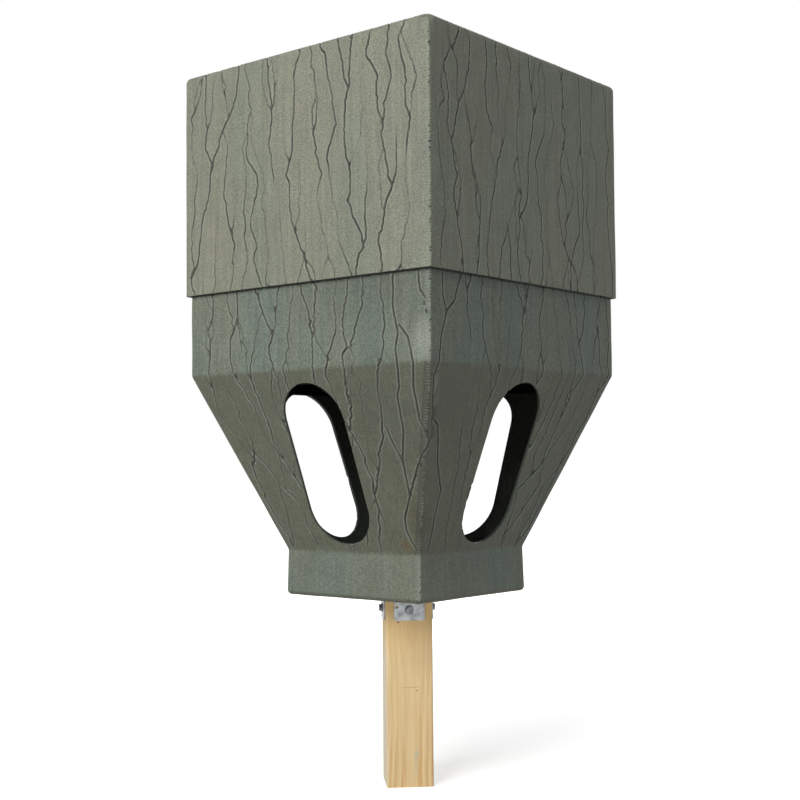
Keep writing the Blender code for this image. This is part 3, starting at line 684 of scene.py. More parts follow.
def bend_rows(profile):
    """Line distances of the points in the moulding's bends, away from its two ends."""
    along, direction = profile["along"], profile["direction"]
    turning = np.linalg.norm(np.diff(direction, axis=0), axis=1)
    return [along[i] for i in range(1, len(along) - 1) if max(turning[i - 1], turning[i]) > 0.01]


print("rows up a face of the body:", len(edge_rows_of(body_profile, ROW_STEP)))

# %% [markdown]
# The flat points now go back on to the moulding. Each gets its lift from the nearest crack, and a slow
# uneven swell that every rotomoulded wall has. Two attributes are stored with the points, groove and lip,
# so that the colour can follow the shape.

# %% Lift, groove and lip of each point
SWELL = 0.0006
SWELL_SCALE = 14.0
NICK = 1.3
NICK_REACH = 0.0015
SIDE_FADE = 0.004
# Painted shade: the inside of the wall and the port's reveal are darkened by this much crack colour.
INNER_PAINTED_SHADE = 0.36
MERGE_WITHIN = 0.00003
SHORTEST_EDGE = 0.00001
SMOOTH_BELOW = math.radians(38)


def swell_of(points):
    return np.array([SWELL * noise.noise(Vector(p) * SWELL_SCALE) for p in points])


class Shell:
    """Collects points with their groove and lip values, and faces, and turns them into one object."""

    def __init__(self):
        self.points, self.groove, self.lip, self.faces = [], [], [], []

    def add(self, points, faces, groove=None, lip=None, flip=False):
        start = len(self.points)
        self.points += [tuple(p) for p in points]
        self.groove += list(np.zeros(len(points)) if groove is None else groove)
        self.lip += list(np.zeros(len(points)) if lip is None else lip)
        for face in faces:
            self.faces.append(tuple(start + int(i) for i in (face[::-1] if flip else face)))

    def strip(self, first, second, closed=False, flip=False, groove=(0.0, 0.0)):
        """A row of four-sided faces between two rows of as many points."""
        count = len(first)
        faces = []
        for i in range(count if closed else count - 1):
            j = (i + 1) % count
            faces.append((i, j, count + j, count + i))
        self.add(list(first) + list(second), faces, np.repeat(groove, count), flip=flip)

    def make(self, name):
        mesh = bpy.data.meshes.new(name)
        mesh.from_pydata(self.points, [], self.faces)
        for label, values in (("groove", self.groove), ("lip", self.lip)):
            mesh.attributes.new(label, "FLOAT", "POINT").data.foreach_set("value", values)
        bm = bmesh.new()
        bm.from_mesh(mesh)
        bmesh.ops.remove_doubles(bm, verts=bm.verts, dist=MERGE_WITHIN)
        bmesh.ops.dissolve_degenerate(bm, edges=bm.edges, dist=SHORTEST_EDGE)
        bm.to_mesh(mesh)
        open_edges = sum(1 for e in bm.edges if len(e.link_faces) != 2)
        bm.free()
        obj = bpy.data.objects.new(name, mesh)
        scene.collection.objects.link(obj)
        bpy.ops.object.select_all(action="DESELECT")
        obj.select_set(True)
        bpy.context.view_layer.objects.active = obj
        bpy.ops.object.shade_smooth_by_angle(angle=SMOOTH_BELOW)
        obj.select_set(False)
        print(f"{name}: {len(mesh.vertices)} points, {len(mesh.polygons)} faces, {open_edges} open edges")
        return obj


def turn_of(profile, quarter, flat):
    across = np.clip(flat[:, 0] / face_width(profile, flat[:, 1]) + 0.5, 0, 1)
    return quarter + CORNER_SHARE + (1 - CORNER_SHARE) * np.minimum(across, 0.999999)


def side_of(quarter):
    """Which end of a quarter's face meets a parting corner: -1 for its start, 1 for its end."""
    return -1 if quarter in PARTING_CORNERS else 1


def cut_placed(placed_tree, past, v, height, groove, lip):
    """Cuts the listed cracks into points that lie at a distance past the corner."""
    distance, strength = near_cracks(*placed_tree, np.stack([past, v], axis=1))
    placed_groove, placed_lip = groove_and_lip(distance, strength)
    height = height + groove_lift(distance, strength)
    return height, np.maximum(groove, placed_groove), np.maximum(lip, placed_lip)


def add_face(shell, profile, quarter, flat, triangles, cracks, placed_tree, lift, flip):
    turn = turn_of(profile, quarter, flat)
    v = flat[:, 1]
    groove = np.full(len(flat), INNER_PAINTED_SHADE if lift < 0 else 0.0)
    lip = np.zeros(len(flat))
    height = np.full(len(flat), lift)
    if cracks:
        distance, strength = near_cracks(*crack_tree(profile, cracks), flat)
        from_side = face_width(profile, v) / 2 - np.abs(flat[:, 0])
        strength = strength * np.clip(from_side / SIDE_FADE, 0, 1)
        height = height + groove_lift(distance, strength) + swell_of(place(profile, turn, v))
        groove, lip = groove_and_lip(distance, strength)
        lip = np.maximum(lip, NICK * strength * (v < NICK_REACH) * (distance < LIP_END))
    if placed_tree:
        past = past_corner(profile, side_of(quarter), flat[:, 0], v)
        height, groove, lip = cut_placed(placed_tree, past, v, height, groove, lip)
    points = place(profile, turn, v, height)
    shell.add(points, triangles, groove, lip, flip)
    return points


# %% [markdown]
# The corners are ruled strips of four-sided faces between two faces of the moulding. Two of them are plain
# arcs. The mould came apart along the other two, and they are a flatter, rubbed band with a sharp edge. Fine
# ribs cross the band, and teeth run along the edge where the plastic tore. On its upright part the band is
# pale, part wear and part painted light, and on the slope it is damp and dark. A few chips on the body are
# given one by one: each is painted dark inside, as dirt and shade, and has a painted highlight on its rim.

# %% Corner strips and the parting line
CORNER_SECTION = ((1.0, 0.0), (0.89, 0.78), (0.85, 0.88), (0.78, 0.95), (0.68, 0.985), (0.0, 1.0))
PARTING_COLUMNS = 22
PARTING_AT = 0.54
PARTING_HALF = 0.07
TOOTH_HEIGHT = 0.0010
RIB_HEIGHT = 0.0007
RIB_START, RIB_END = 0.22, 0.62
CALM_STEP = 0.035
# Paleness of the upright band: part wear, part painted light.
WORN_AND_LIT_BODY, WORN_AND_LIT_LID = 0.36, 0.12
DAMP_BAND = 0.34
DAMP_RELIEF = 0.36
EDGE_FADE = 0.035
UPRIGHT_FROM, UPRIGHT_FADE = 0.94, 0.05
BAND_PAST, BAND_START = 0.10, 0.12
CHIP_DEPTH = 0.0016
CORNER_CHIPS = (
    (-0.0120, 0.516, 0.0024), (-0.0070, 0.502, 0.0024), (-0.0005, 0.306, 0.0034), (-0.0011, 0.261, 0.0020),
    (-0.0067, 0.247, 0.0022), (0.0053, 0.398, 0.0020),
)


def corner_columns(parting):
    if not parting:
        return np.linspace(0, 1, CORNER_STEPS + 1)
    edge = PARTING_AT + np.linspace(-PARTING_HALF, PARTING_HALF, 7)
    plain = np.linspace(0, 1, PARTING_COLUMNS)
    return np.sort(np.concatenate([plain[np.abs(plain - PARTING_AT) > 1.2 * PARTING_HALF], edge]))


def edge_stand(columns):
    """How far the sharp edge stands off a plain arc at each column, as a share of the arc's radius."""
    corners = np.array(CORNER_SECTION)
    dense = np.array([a + (b - a) * k / 8 for a, b in zip(corners, corners[1:]) for k in range(9)])
    angle = np.arctan2(dense[:, 1], dense[:, 0])
    return np.interp(columns * math.pi / 2, angle, np.hypot(dense[:, 0], dense[:, 1])) - 1


def parting_relief(columns, rows, seed):
    """Height of the ribs and teeth for each column and row, 1 being a tall tooth."""
    random = np.random.default_rng(seed)
    knots = np.arange(rows[0], rows[-1] + CALM_STEP, CALM_STEP)
    calm = [np.interp(rows, knots, random.uniform(0.1, 1.0, len(knots))) for _ in range(2)]
    ribs = np.where(np.arange(len(rows)) % 2, 1.0, -0.6) * calm[0] * RIB_HEIGHT / TOOTH_HEIGHT
    teeth = random.choice([-1.5, -0.3, 0.6, 1.0], len(rows), p=[0.10, 0.30, 0.36, 0.24]) * calm[1]
    band = np.clip((columns - RIB_START) / 0.1, 0, 1) * np.clip((RIB_END - columns) / 0.06, 0, 1)
    edge = np.clip(1.2 - np.abs(columns - PARTING_AT) / PARTING_HALF, 0, 1)
    relief = band[:, None] * ribs[None, :] + edge[:, None] * teeth[None, :]
    relief[:, 0] = relief[:, -1] = 0
    return relief


def band_finish(profile, columns, rows, wall_end, relief, worn_and_lit_share):
    """Groove and lip of a parting band: pale where it is upright, part wear and part painted light, and damp
    and dark on the slope.
    """
    upright = np.clip((at(profile, "up", rows) - UPRIGHT_FROM) / UPRIGHT_FADE, 0, 1)
    band = np.clip((PARTING_AT + BAND_PAST - columns) / BAND_PAST, 0, 1)
    band = band * np.clip(columns / BAND_START, 0, 1)
    worn_and_lit = band[:, None] * upright * worn_and_lit_share
    lip = np.clip(1.3 * np.clip(relief, 0, 1) + worn_and_lit + 0.35 * np.clip(relief, -1, 0), 0, 1)
    damp = DAMP_BAND - DAMP_RELIEF * np.clip(relief, -1, 1)
    damp = band[:, None] * (1 - upright) * (rows < wall_end) * damp
    groove = np.maximum(np.clip(-relief - 0.5, 0, 1), damp)
    return groove.ravel(), lip.ravel()


def add_chips(profile, past, v, inside, height, groove, lip):
    """Chips by a corner of the body: each is a small hollow, dark inside from dirt and painted shade, with a
    painted highlight on one side of its rim.
    """
    for chip_past, chip_height, reach in CORNER_CHIPS:
        chip_v = np.interp(UNDERSIDE + chip_height, profile["line"][:, 1], profile["along"])
        aside, above = (past - chip_past) / reach, (v - chip_v) / reach
        away = np.hypot(aside + 0.3 * above, 0.7 * above)
        height = height - CHIP_DEPTH * np.clip(1.4 - away, 0, 1) * inside
        groove = np.maximum(groove, np.clip(1.5 - away, 0, 1))
        # Painted highlight on one side of the chip's rim.
        highlight_rim = np.clip(1.5 - 2 * np.abs(away - 1.8), 0, 1) * (aside < -0.4)
        lip = np.maximum(lip, highlight_rim)
    return height, groove, lip


def add_corner(shell, profile, quarter, rows, lift, outside, placed_tree, seed):
    parting = quarter in PARTING_CORNERS
    columns = corner_columns(parting)
    shape = (len(columns), len(rows))
    turn = quarter + CORNER_SHARE * np.repeat(columns, len(rows))
    v = np.tile(rows, len(columns))
    height = np.full(len(turn), lift)
    groove = np.full(len(turn), 0.0 if outside else INNER_PAINTED_SHADE)
    lip = np.zeros(len(turn))
    if outside:
        height = height + swell_of(place(profile, turn, v))
    if outside and parting:
        wall_end = rows[at(profile, "up", rows) > 0.8].max()
        upright = (at(profile, "up", rows) * np.clip((wall_end - rows) / EDGE_FADE, 0, 1))[None, :]
        relief = parting_relief(columns, rows, seed) * upright
        stand = edge_stand(columns)[:, None] * upright * corner_radius(profile, rows)
        height = height + (stand + relief * TOOTH_HEIGHT).ravel()
        worn_and_lit_share = WORN_AND_LIT_BODY if placed_tree else WORN_AND_LIT_LID
        groove, lip = band_finish(profile, columns, rows, wall_end, relief, worn_and_lit_share)
    if outside and placed_tree:
        past = corner_radius(profile, v) * (2 * np.repeat(columns, len(rows)) - 1)
        height, groove, lip = cut_placed(placed_tree, past, v, height, groove, lip)
        inside = np.repeat(np.clip(5 - 10 * np.abs(columns - 0.5), 0, 1), len(rows))
        height, groove, lip = add_chips(profile, past, v, inside, height, groove, lip)
    points = place(profile, turn, v, height)
    faces = []
    for c in range(shape[0] - 1):
        for r in range(shape[1] - 1):
            a, b = c * shape[1] + r, (c + 1) * shape[1] + r
            faces.append((a, b, b + 1, a + 1))
    shell.add(points, faces, groove, lip, not outside)
    return points.reshape(*shape, 3)


print("columns across a parting corner:", len(corner_columns(True)))

# %% [markdown]
# A whole wall is four faces and four corners, made twice: outside with its cracks, and inside, one wall
# thickness in. Both come back with their free edges, so that the next step can close the gap between them.

# %% Build both skins of a moulding
FACE_GRID = 0.024
INNER_GRID = 0.05


def add_skins(shell, profile, wall, cracks_of_face, placed, with_port, seed):
    """Adds the outer and inner skin, and returns their edges: bottom, top and port loops of each."""
    edges = {"bottom": ([], []), "top": ([], []), "ports": ([], [])}
    skins = ((0.0, ROW_STEP, FACE_GRID), (-wall, INNER_GRID, INNER_GRID))
    placed_tree = line_tree(placed) if placed else None
    for quarter in range(4):
        grown = cracks_of_face[quarter]
        cracks = grown + placed_on_face(profile, placed, side_of(quarter))
        top = profile["along"][-1]
        ends = {"bottom": end_row(profile, cracks, 0.0), "top": end_row(profile, cracks, top)}
        for skin, (lift, step, grid) in enumerate(skins):
            outside = skin == 0
            rows = edge_rows_of(profile, step)
            corner_tree = placed_tree if quarter in PARTING_CORNERS else None
            corner = add_corner(shell, profile, quarter, rows, lift, outside, corner_tree, seed + quarter)
            own = cracks if outside else []
            flat, triangles = triangulate_face(profile, rows, *ends.values(), own, with_port, grid)
            own, tree = (grown, placed_tree) if outside else ([], None)
            points = add_face(shell, profile, quarter, flat, triangles, own, tree, lift, not outside)
            lookup = flat_lookup(flat)
            for key, index in (("bottom", 0), ("top", -1)):
                edges[key][skin].extend(corner[:, index])
                edges[key][skin].extend(points[lookup(x, rows[index])] for x in ends[key][1:-1])
            if with_port:
                edges["ports"][skin].append([points[lookup(x, v)] for x, v in PORT[0]])
    return edges


def flat_lookup(flat):
    tree = KDTree(len(flat))
    for i, (x, y) in enumerate(flat):
        tree.insert((x, y, 0), i)
    tree.balance()
    return lambda x, v: tree.find((float(x), float(v), 0))[1]


print("grid of the outer skin:", FACE_GRID, "m, of the inner skin:", INNER_GRID, "m")

# %% [markdown]
# A floor and a crown are level sheets with a loop of points round them and, in the floor, round holes. The
# floor's holes are the four bolt holes and the four drain holes. A row of points on a perfectly straight side
# can lose some of them to rounding, so each side is bulged by a hundredth of a millimetre first.

# %% Level sheets
SHEET_GRID = 0.03
HOLE_STEPS = 20
BULGE = 0.00001
ON_SIDE = 0.000012
SHEET_TOLERANCE = 1e-7


def circle(x, y, radius):
    turns = [math.tau * i / HOLE_STEPS for i in range(HOLE_STEPS)]
    return [(x + radius * math.cos(a), y + radius * math.sin(a)) for a in turns]


def bulged(a, b, half):
    """a, or where it lies on a side of the square, a point on a very slight arc instead of that side."""
    if abs(a) < half - ON_SIDE:
        return a
    return math.copysign(half + BULGE * (1 - (b / half) ** 2), a)


def add_sheet(shell, loop, holes, flip):
    """Fills a loop of points with a sheet that has round holes, and returns each hole's loop of points."""
    height = float(np.mean([p[2] for p in loop]))
    half = max(abs(p[0]) for p in loop)
    points = [(bulged(p[0], p[1], half), bulged(p[1], p[0], half)) for p in loop]
    edges = [(i, (i + 1) % len(points)) for i in range(len(points))]
    for x, y, radius in holes:
        start = len(points)
        points += circle(x, y, radius)
        edges += [(start + i, start + (i + 1) % HOLE_STEPS) for i in range(HOLE_STEPS)]
    reach = half - SHEET_GRID / 2
    spots = np.linspace(-reach, reach, int(2 * reach / SHEET_GRID))
    for x in spots:
        for y in spots:
            if all(math.hypot(x - hx, y - hy) > 2 * radius for hx, hy, radius in holes):
                points.append((x, y))
    flat, triangles = triangulated(points, edges, SHEET_TOLERANCE)
    middle = flat[triangles].mean(axis=1)
    for x, y, radius in holes:
        outside = np.hypot(middle[:, 0] - x, middle[:, 1] - y) > radius * 0.99
        triangles, middle = triangles[outside], middle[outside]
    heights = np.full(len(flat), height)
    nearest = flat_lookup(flat)
    for p in loop:
        heights[nearest(p[0], p[1])] = p[2]
    shell.add(np.column_stack([flat, heights]), triangles, flip=flip)
    return [[(x, y, height) for x, y in circle(*hole)] for hole in holes]


print("a round hole has", len(circle(0, 0, 1)), "points")

# %% [markdown]
# Now both mouldings can be made. The lid's cracks fade out on its crown and run off its lower edge, where
# they leave notches. The body's cracks run down under the lid, over the shoulder and down the taper, where
# they close in on each other, and end at the neck. The trough below it is plain. Modelling by operators could
# not make edges follow every crack, so both shells are computed as meshes.

# %% Make the lid and the body
LID_SEED = 11
BODY_SEED = 41
CROWN_FADE = 0.05
NECK_FADE = 0.03
FADE_POWER = 0.7
PAST_NECK = 0.004
BOLT_HOLE_RADIUS = 0.0044
DRAIN_RADIUS = 0.004
DRAIN_FROM_WALL = 0.030


def faded(cracks, start, end):
    """Cracks whose strength falls from full at v = start to nothing at v = end."""
    for crack in cracks:
        crack[:, 2] *= np.clip((crack[:, 1] - end) / (start - end), 0, 1) ** FADE_POWER
    return cracks


def make_lid():
    shell = Shell()
    edge = float(np.interp(LID_TOP, lid_profile["line"][:, 1], lid_profile["along"]))
    starts = edge + CROWN_FADE
    faces = [faded(grow_cracks(lid_profile, starts, 0.0, LID_SEED + q), edge, starts) for q in range(4)]
    edges = add_skins(shell, lid_profile, WALL, faces, [], False, LID_SEED)
    shell.strip(*edges["bottom"], closed=True, flip=True)
    add_sheet(shell, edges["top"][0], [], False)
    add_sheet(shell, edges["top"][1], [], True)
    return shell.make("lid_bark")


def make_body():
    shell = Shell()
    top = body_profile["along"][-1]
    ends = TAPER_START - PAST_NECK
    faces = [grow_cracks(body_profile, top, ends, BODY_SEED + q, side_of(q)) for q in range(4)]
    faces = [faded(cracks, ends + NECK_FADE, ends) for cracks in faces]
    edges = add_skins(shell, body_profile, WALL, faces, placed, True, BODY_SEED)
    # The port's reveal is darkened inwards as painted shade.
    for outer, inner in zip(*edges["ports"]):
        middle = (np.array(outer) + np.array(inner)) / 2
        shell.strip(outer, middle, closed=True, groove=(0.0, INNER_PAINTED_SHADE))
        shell.strip(middle, inner, closed=True, groove=(INNER_PAINTED_SHADE, INNER_PAINTED_SHADE))
    rim_out, rim_in = np.array(edges["top"][0]), np.array(edges["top"][1])
    crest = [rim_out * (1 - k) + rim_in * k + np.array([0, 0, END_MARGIN]) for k in (0.3, 0.7)]
    for first, second in zip([rim_out] + crest, crest + [rim_in]):
        shell.strip(first, second, closed=True)
    holes = floor_holes()
    under = add_sheet(shell, edges["bottom"][0], holes, True)
    floor = add_sheet(shell, edges["bottom"][1], holes, False)
    for low, high in zip(under, floor):
        shell.strip(low, high, closed=True, flip=True)
    return shell.make("body_bark")


def floor_holes():
    """(x, y, radius) of the bolt holes, read from the bolts, and of the drain holes."""
    holes = []
    for side in ("front", "right", "back", "left"):
        low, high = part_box("floor_bolt_" + side)
        holes.append(((low.x + high.x) / 2, (low.y + high.y) / 2, BOLT_HOLE_RADIUS))
    drain = NECK_HALF - WALL - DRAIN_FROM_WALL
    return holes + [(sx * drain, sy * drain, DRAIN_RADIUS) for sx in (-1, 1) for sy in (-1, 1)]


lid = make_lid()
body = make_body()
for piece, node, rides_on in ((lid, "lid", "lid"), (body, "body_shell", "feeder")):
    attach(piece, rides_on)
    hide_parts(node)


# %% [markdown]
# Every finish here is a tree of shader nodes, with no pictures in it. A few helpers keep the trees short:
# one adds a node and joins it up, and the others add a noise, a change of range, a mix or an oval mark.

# %% Helpers for materials
def new_material(name):
    made = bpy.data.materials.new(name)
    made.use_nodes = True
    made.node_tree.nodes.clear()
    return made, made.node_tree


def put(tree, kind, links=None, **settings):
    """Adds a node. links gives its inputs by name or number: another socket to read, or a value."""
    node = tree.nodes.new("ShaderNode" + kind)
    for key, value in settings.items():
        setattr(node, key, value)
    for key, value in (links or {}).items():
        if isinstance(value, bpy.types.NodeSocket):
            tree.links.new(value, node.inputs[key])
        else:
            node.inputs[key].default_value = value
    return node


def noise_of(tree, place, scale, detail=3.0, roughness=0.5):
    links = {"Vector": place, "Scale": scale, "Detail": detail, "Roughness": roughness}
    return put(tree, "TexNoise", links).outputs["Fac"]


def stretched(tree, scale):
    """Object coordinates, multiplied on each axis."""
    source = put(tree, "TexCoord").outputs["Object"]
    return put(tree, "Mapping", {"Vector": source, "Scale": scale}).outputs["Vector"]


def ranged(tree, value, low, high, new_low, new_high):
    links = {"Value": value, "From Min": low, "From Max": high, "To Min": new_low, "To Max": new_high}
    return put(tree, "MapRange", links).outputs["Result"]


def mixed(tree, share, a, b, kind="MIX"):
    """Mix of two colours by a share."""
    links = {0: share, 6: a, 7: b}
    return put(tree, "Mix", links, data_type="RGBA", blend_type=kind).outputs[2]


def shade(tree, value, colour):
    """A colour multiplied by a single value."""
    links = {0: colour, "Scale": value}
    return put(tree, "VectorMath", links, operation="SCALE").outputs[0]


def shade_value(tree, value, by):
    return put(tree, "Math", {0: value, 1: by}, operation="MULTIPLY").outputs[0]


def mark(tree, place, centre, reach, soft):
    """1 inside an oval at centre with the half sizes in reach, falling to 0 over its soft edge."""
    offset = put(tree, "VectorMath", {0: place, 1: centre}, operation="SUBTRACT").outputs[0]
    scaled = put(tree, "VectorMath", {0: offset, 1: [1 / r for r in reach]}, operation="MULTIPLY").outputs[0]
    length = put(tree, "VectorMath", {0: scaled}, operation="LENGTH").outputs["Value"]
    return ranged(tree, length, 1.0, 1.0 - soft, 0, 1)


def finish_shader(tree, colour, roughness, height, strength, distance, metallic=0.0, specular=0.4):
    bump = put(tree, "Bump", {"Height": height, "Strength": strength, "Distance": distance})
    links = {"Base Color": colour, "Roughness": roughness, "Metallic": metallic}
    shader = put(tree, "BsdfPrincipled", links | {"Normal": bump.outputs["Normal"]})
    shader.inputs["Specular IOR Level"].default_value = specular
    put(tree, "OutputMaterial", {"Surface": shader.outputs["BSDF"]})


def colour(r, g, b):
    return (r, g, b, 1.0)


# %% [markdown]
# The moulded plastic is matt, with a fine grain. Its grey-green drifts to a bluer and to a browner shade
# in tall soft patches, with faint streaks down the face. The cracks are dark with dirt and painted shade, the
# inside of the wall is darkened as painted shade, and the lips are pale, part rubbed wear and part painted
# highlight. All of it is worked out in the material, from the place of each point and from its groove and lip.
# Some shadow is painted in as well, where the lamps give too little: two dark ovals on the body, a line
# under the lid's edge, and a darker shade on all that faces down.

# %% Moulded plastic
LID_SHADES = (colour(0.154, 0.172, 0.136), colour(0.176, 0.182, 0.140))
BODY_SHADES = (colour(0.106, 0.136, 0.115), colour(0.122, 0.136, 0.106))
SLOPE_SHADE = colour(0.071, 0.075, 0.050)
CRACK_DIRT_AND_SHADE = colour(0.022, 0.023, 0.016)
RUBBED_AND_HIGHLIGHT = colour(0.300, 0.325, 0.285)
OLIVE_DAMP = colour(0.055, 0.057, 0.029)
RUST = colour(0.090, 0.055, 0.020)
DEEP_SHADE = colour(0.045, 0.051, 0.036)
# Painted shadow: near-black for the line under the lid's overhang.
UNDER_LID_SHADOW = colour(0.006, 0.006, 0.005)
# Marks on the body. The first two are painted shade: dark ovals by the front corner, under the lid and on the
# taper. The third is a pale patch at the corner, part wear and part painted light. The last two are damp and
# rust stains.
BODY_MARKS_AND_PAINTED_SHADE = (
    ((UPPER_HALF - 0.13, -UPPER_HALF, lid_low.z), (0.22, 0.10, 0.12), 1.0, 0.50, DEEP_SHADE),
    ((0.170, -0.250, UNDERSIDE + 0.330), (0.150, 0.120, 0.150), 0.6, 0.36, DEEP_SHADE),
    ((UPPER_HALF - 0.015, -UPPER_HALF - 0.004, UNDERSIDE + 0.458), (0.030, 0.014, 0.050), 0.5, 0.32, RUBBED_AND_HIGHLIGHT),
    ((0.178, -0.192, UNDERSIDE + 0.150), (0.028, 0.034, 0.066), 0.6, 0.75, OLIVE_DAMP),
    ((0.143, -0.173, UNDERSIDE + 0.103), (0.020, 0.030, 0.014), 0.9, 0.70, RUST),
)
LINE_BELOW_LID = 0.0026


def under_lid_shadow_line(tree, place, base):
    """A painted shadow: a dark line with a ragged edge on the body, just under the lid's lower edge."""
    height = put(tree, "SeparateXYZ", {"Vector": place}).outputs["Z"]
    ragged = ranged(tree, noise_of(tree, place, 160.0, 3.0), 0.3, 0.7, -0.0012, 0.0012)
    height = put(tree, "Math", {0: height, 1: ragged}, operation="ADD").outputs[0]
    edge = lid_low.z - LINE_BELOW_LID
    rise = ranged(tree, height, edge, edge + 0.0012, 0, 0.92)
    fall = ranged(tree, height, lid_low.z + 0.002, lid_low.z + 0.012, 1, 0)
    return mixed(tree, shade_value(tree, rise, fall), base, UNDER_LID_SHADOW)


def moulded_plastic(name, shades, marks=()):
    made, tree = new_material(name)
    patches = noise_of(tree, stretched(tree, (7.0, 7.0, 1.3)), 1.0, 3.0)
    base = mixed(tree, ranged(tree, patches, 0.36, 0.64, 0, 1), *shades)
    normal = put(tree, "TexCoord").outputs["Normal"]
    down = put(tree, "SeparateXYZ", {"Vector": normal}).outputs["Z"]
    # Painted shade: all that faces down is darkened.
    base = mixed(tree, ranged(tree, down, -0.06, -0.34, 0, 0.85), base, SLOPE_SHADE)
    place = stretched(tree, (1, 1, 1))
    for centre, reach, soft, share, tint in marks:
        base = mixed(tree, shade_value(tree, mark(tree, place, centre, reach, soft), share), base, tint)
    streak = noise_of(tree, stretched(tree, (1, 1, 0.05)), 130.0, 2.0)
    speck = put(tree, "TexNoise", {"Vector": place, "Scale": 400.0, "Detail": 2.0}).outputs
    clouds = ranged(tree, noise_of(tree, place, 26.0, 4.0), 0.3, 0.7, 0.93, 1.07)
    base = shade(tree, clouds, shade(tree, ranged(tree, streak, 0.3, 0.7, 0.90, 1.10), base))
    base = mixed(tree, 0.15, base, speck["Color"], "OVERLAY")
    base = shade(tree, ranged(tree, speck["Fac"], 0.3, 0.7, 0.66, 1.34), base)
    lip = put(tree, "Attribute", attribute_name="lip").outputs["Fac"]
    groove = put(tree, "Attribute", attribute_name="groove").outputs["Fac"]
    # Lips, nicks, chip rims and the worn band are pale: part rubbed wear, part painted highlight.
    base = mixed(tree, ranged(tree, lip, 0.2, 1.2, 0, 0.44), base, RUBBED_AND_HIGHLIGHT)
    # Cracks, chips and the inside of the wall are darkened: dirt, and painted shade in the hollows.
    base = mixed(tree, ranged(tree, groove, 0.05, 0.55, 0, 0.90), base, CRACK_DIRT_AND_SHADE)
    # Painted shadow under the lid's edge.
    if marks:
        base = under_lid_shadow_line(tree, place, base)
    grain = noise_of(tree, place, 620.0, 3.0, 0.6)
    height = put(tree, "Math", {0: shade_value(tree, streak, 2.6), 1: grain}, operation="ADD").outputs[0]
    finish_shader(tree, base, ranged(tree, grain, 0.3, 0.7, 0.58, 0.74), height, 0.38, 0.0012)
    return made


lid.data.materials.append(moulded_plastic("lid_bark_plastic", LID_SHADES))
plastic = moulded_plastic("body_bark_plastic", BODY_SHADES, BODY_MARKS_AND_PAINTED_SHADE)
body.data.materials.append(plastic)
print("bark plastic on", lid.name, "and", body.name)

# %% [markdown]
# The funnel, its ring, the spout and the flow sleeve are a darker, duller plastic, dusty from the feed that
# slides over them.

# %% Liner plastic
LINER_DARK = colour(0.011, 0.012, 0.010)
LINER_DUST = colour(0.030, 0.028, 0.020)


def liner_plastic():
    made, tree = new_material("dusty_liner_plastic")
    place = stretched(tree, (1, 1, 1))
    dust = noise_of(tree, place, 22.0, 5.0, 0.62)
    base = mixed(tree, ranged(tree, dust, 0.45, 0.75, 0, 0.8), LINER_DARK, LINER_DUST)
    rough = ranged(tree, dust, 0.4, 0.7, 0.72, 0.90)
    finish_shader(tree, base, rough, noise_of(tree, place, 380.0, 2.0), 0.2, 0.0008, specular=0.03)
    return made


# %% [markdown]
# The brackets, screws, washers and nuts are zinc-plated steel. Fresh zinc is bright with a soft mottle of
# crystals, and it dulls to grey blotches outdoors.

# %% Zinc-plated steel
BRACKET_ZINC = (colour(0.40, 0.42, 0.425), colour(0.26, 0.27, 0.273))
# Painted shade: the fasteners' zinc is darker than the brackets', for the shade on them.
SHADED_FASTENER_ZINC = (colour(0.22, 0.235, 0.25), colour(0.10, 0.11, 0.12))


def zinc_steel(name, bright, dull):
    made, tree = new_material(name)
    place = stretched(tree, (1, 1, 1))
    crystals = put(tree, "TexVoronoi", {"Vector": place, "Scale": 260.0}).outputs["Color"]
    mottle = put(tree, "SeparateColor", {"Color": crystals}).outputs["Red"]
    blotches = noise_of(tree, place, 90.0, 5.0, 0.65)
    base = mixed(tree, ranged(tree, blotches, 0.35, 0.65, 0, 1), bright, dull)
    base = shade(tree, ranged(tree, mottle, 0, 1, 0.92, 1.06), base)
    rough = ranged(tree, blotches, 0.3, 0.7, 0.30, 0.52)
    finish_shader(tree, base, rough, noise_of(tree, place, 700.0, 2.0), 0.12, 0.0005, 0.85, 0.5)
    return made


# %% [markdown]
# The post is flat-sawn pine. A tree's growth rings are nested tubes, so the grain is worked out from the
# distance to the tree's middle, which ran up inside the post. Each ring fades from pale early wood to a
# brown late band and then stops sharply. Slow noise bends the tubes, and fine fibres run between the bands.
# The used post also has a scratch, a nail hole, a dent and a small stain on its front face. Its top, in the
# hopper's shadow, is painted lighter and warmer, and one side is paler and greyer, part weathering and part
# painted light.

# %% Pine
PINE_PALE = colour(0.76, 0.575, 0.315)
PINE_BAND = colour(0.60, 0.35, 0.14)
# Painted light: the post's top, in the hopper's shadow, is lightened and warmed towards this.
PINE_TOP_PAINTED_LIGHT = colour(1.0, 0.70, 0.335)
# One side of the post is paler and greyer: part weathering, part painted light.
PINE_BLEACHED_AND_LIT = colour(0.66, 0.62, 0.50)
PINE_STAIN = colour(0.40, 0.50, 0.45)
PINE_DARK = colour(0.05, 0.04, 0.03)
RING_SPACING = 0.0052
TREE_MIDDLE = (0.004, 0.014, 0.0)


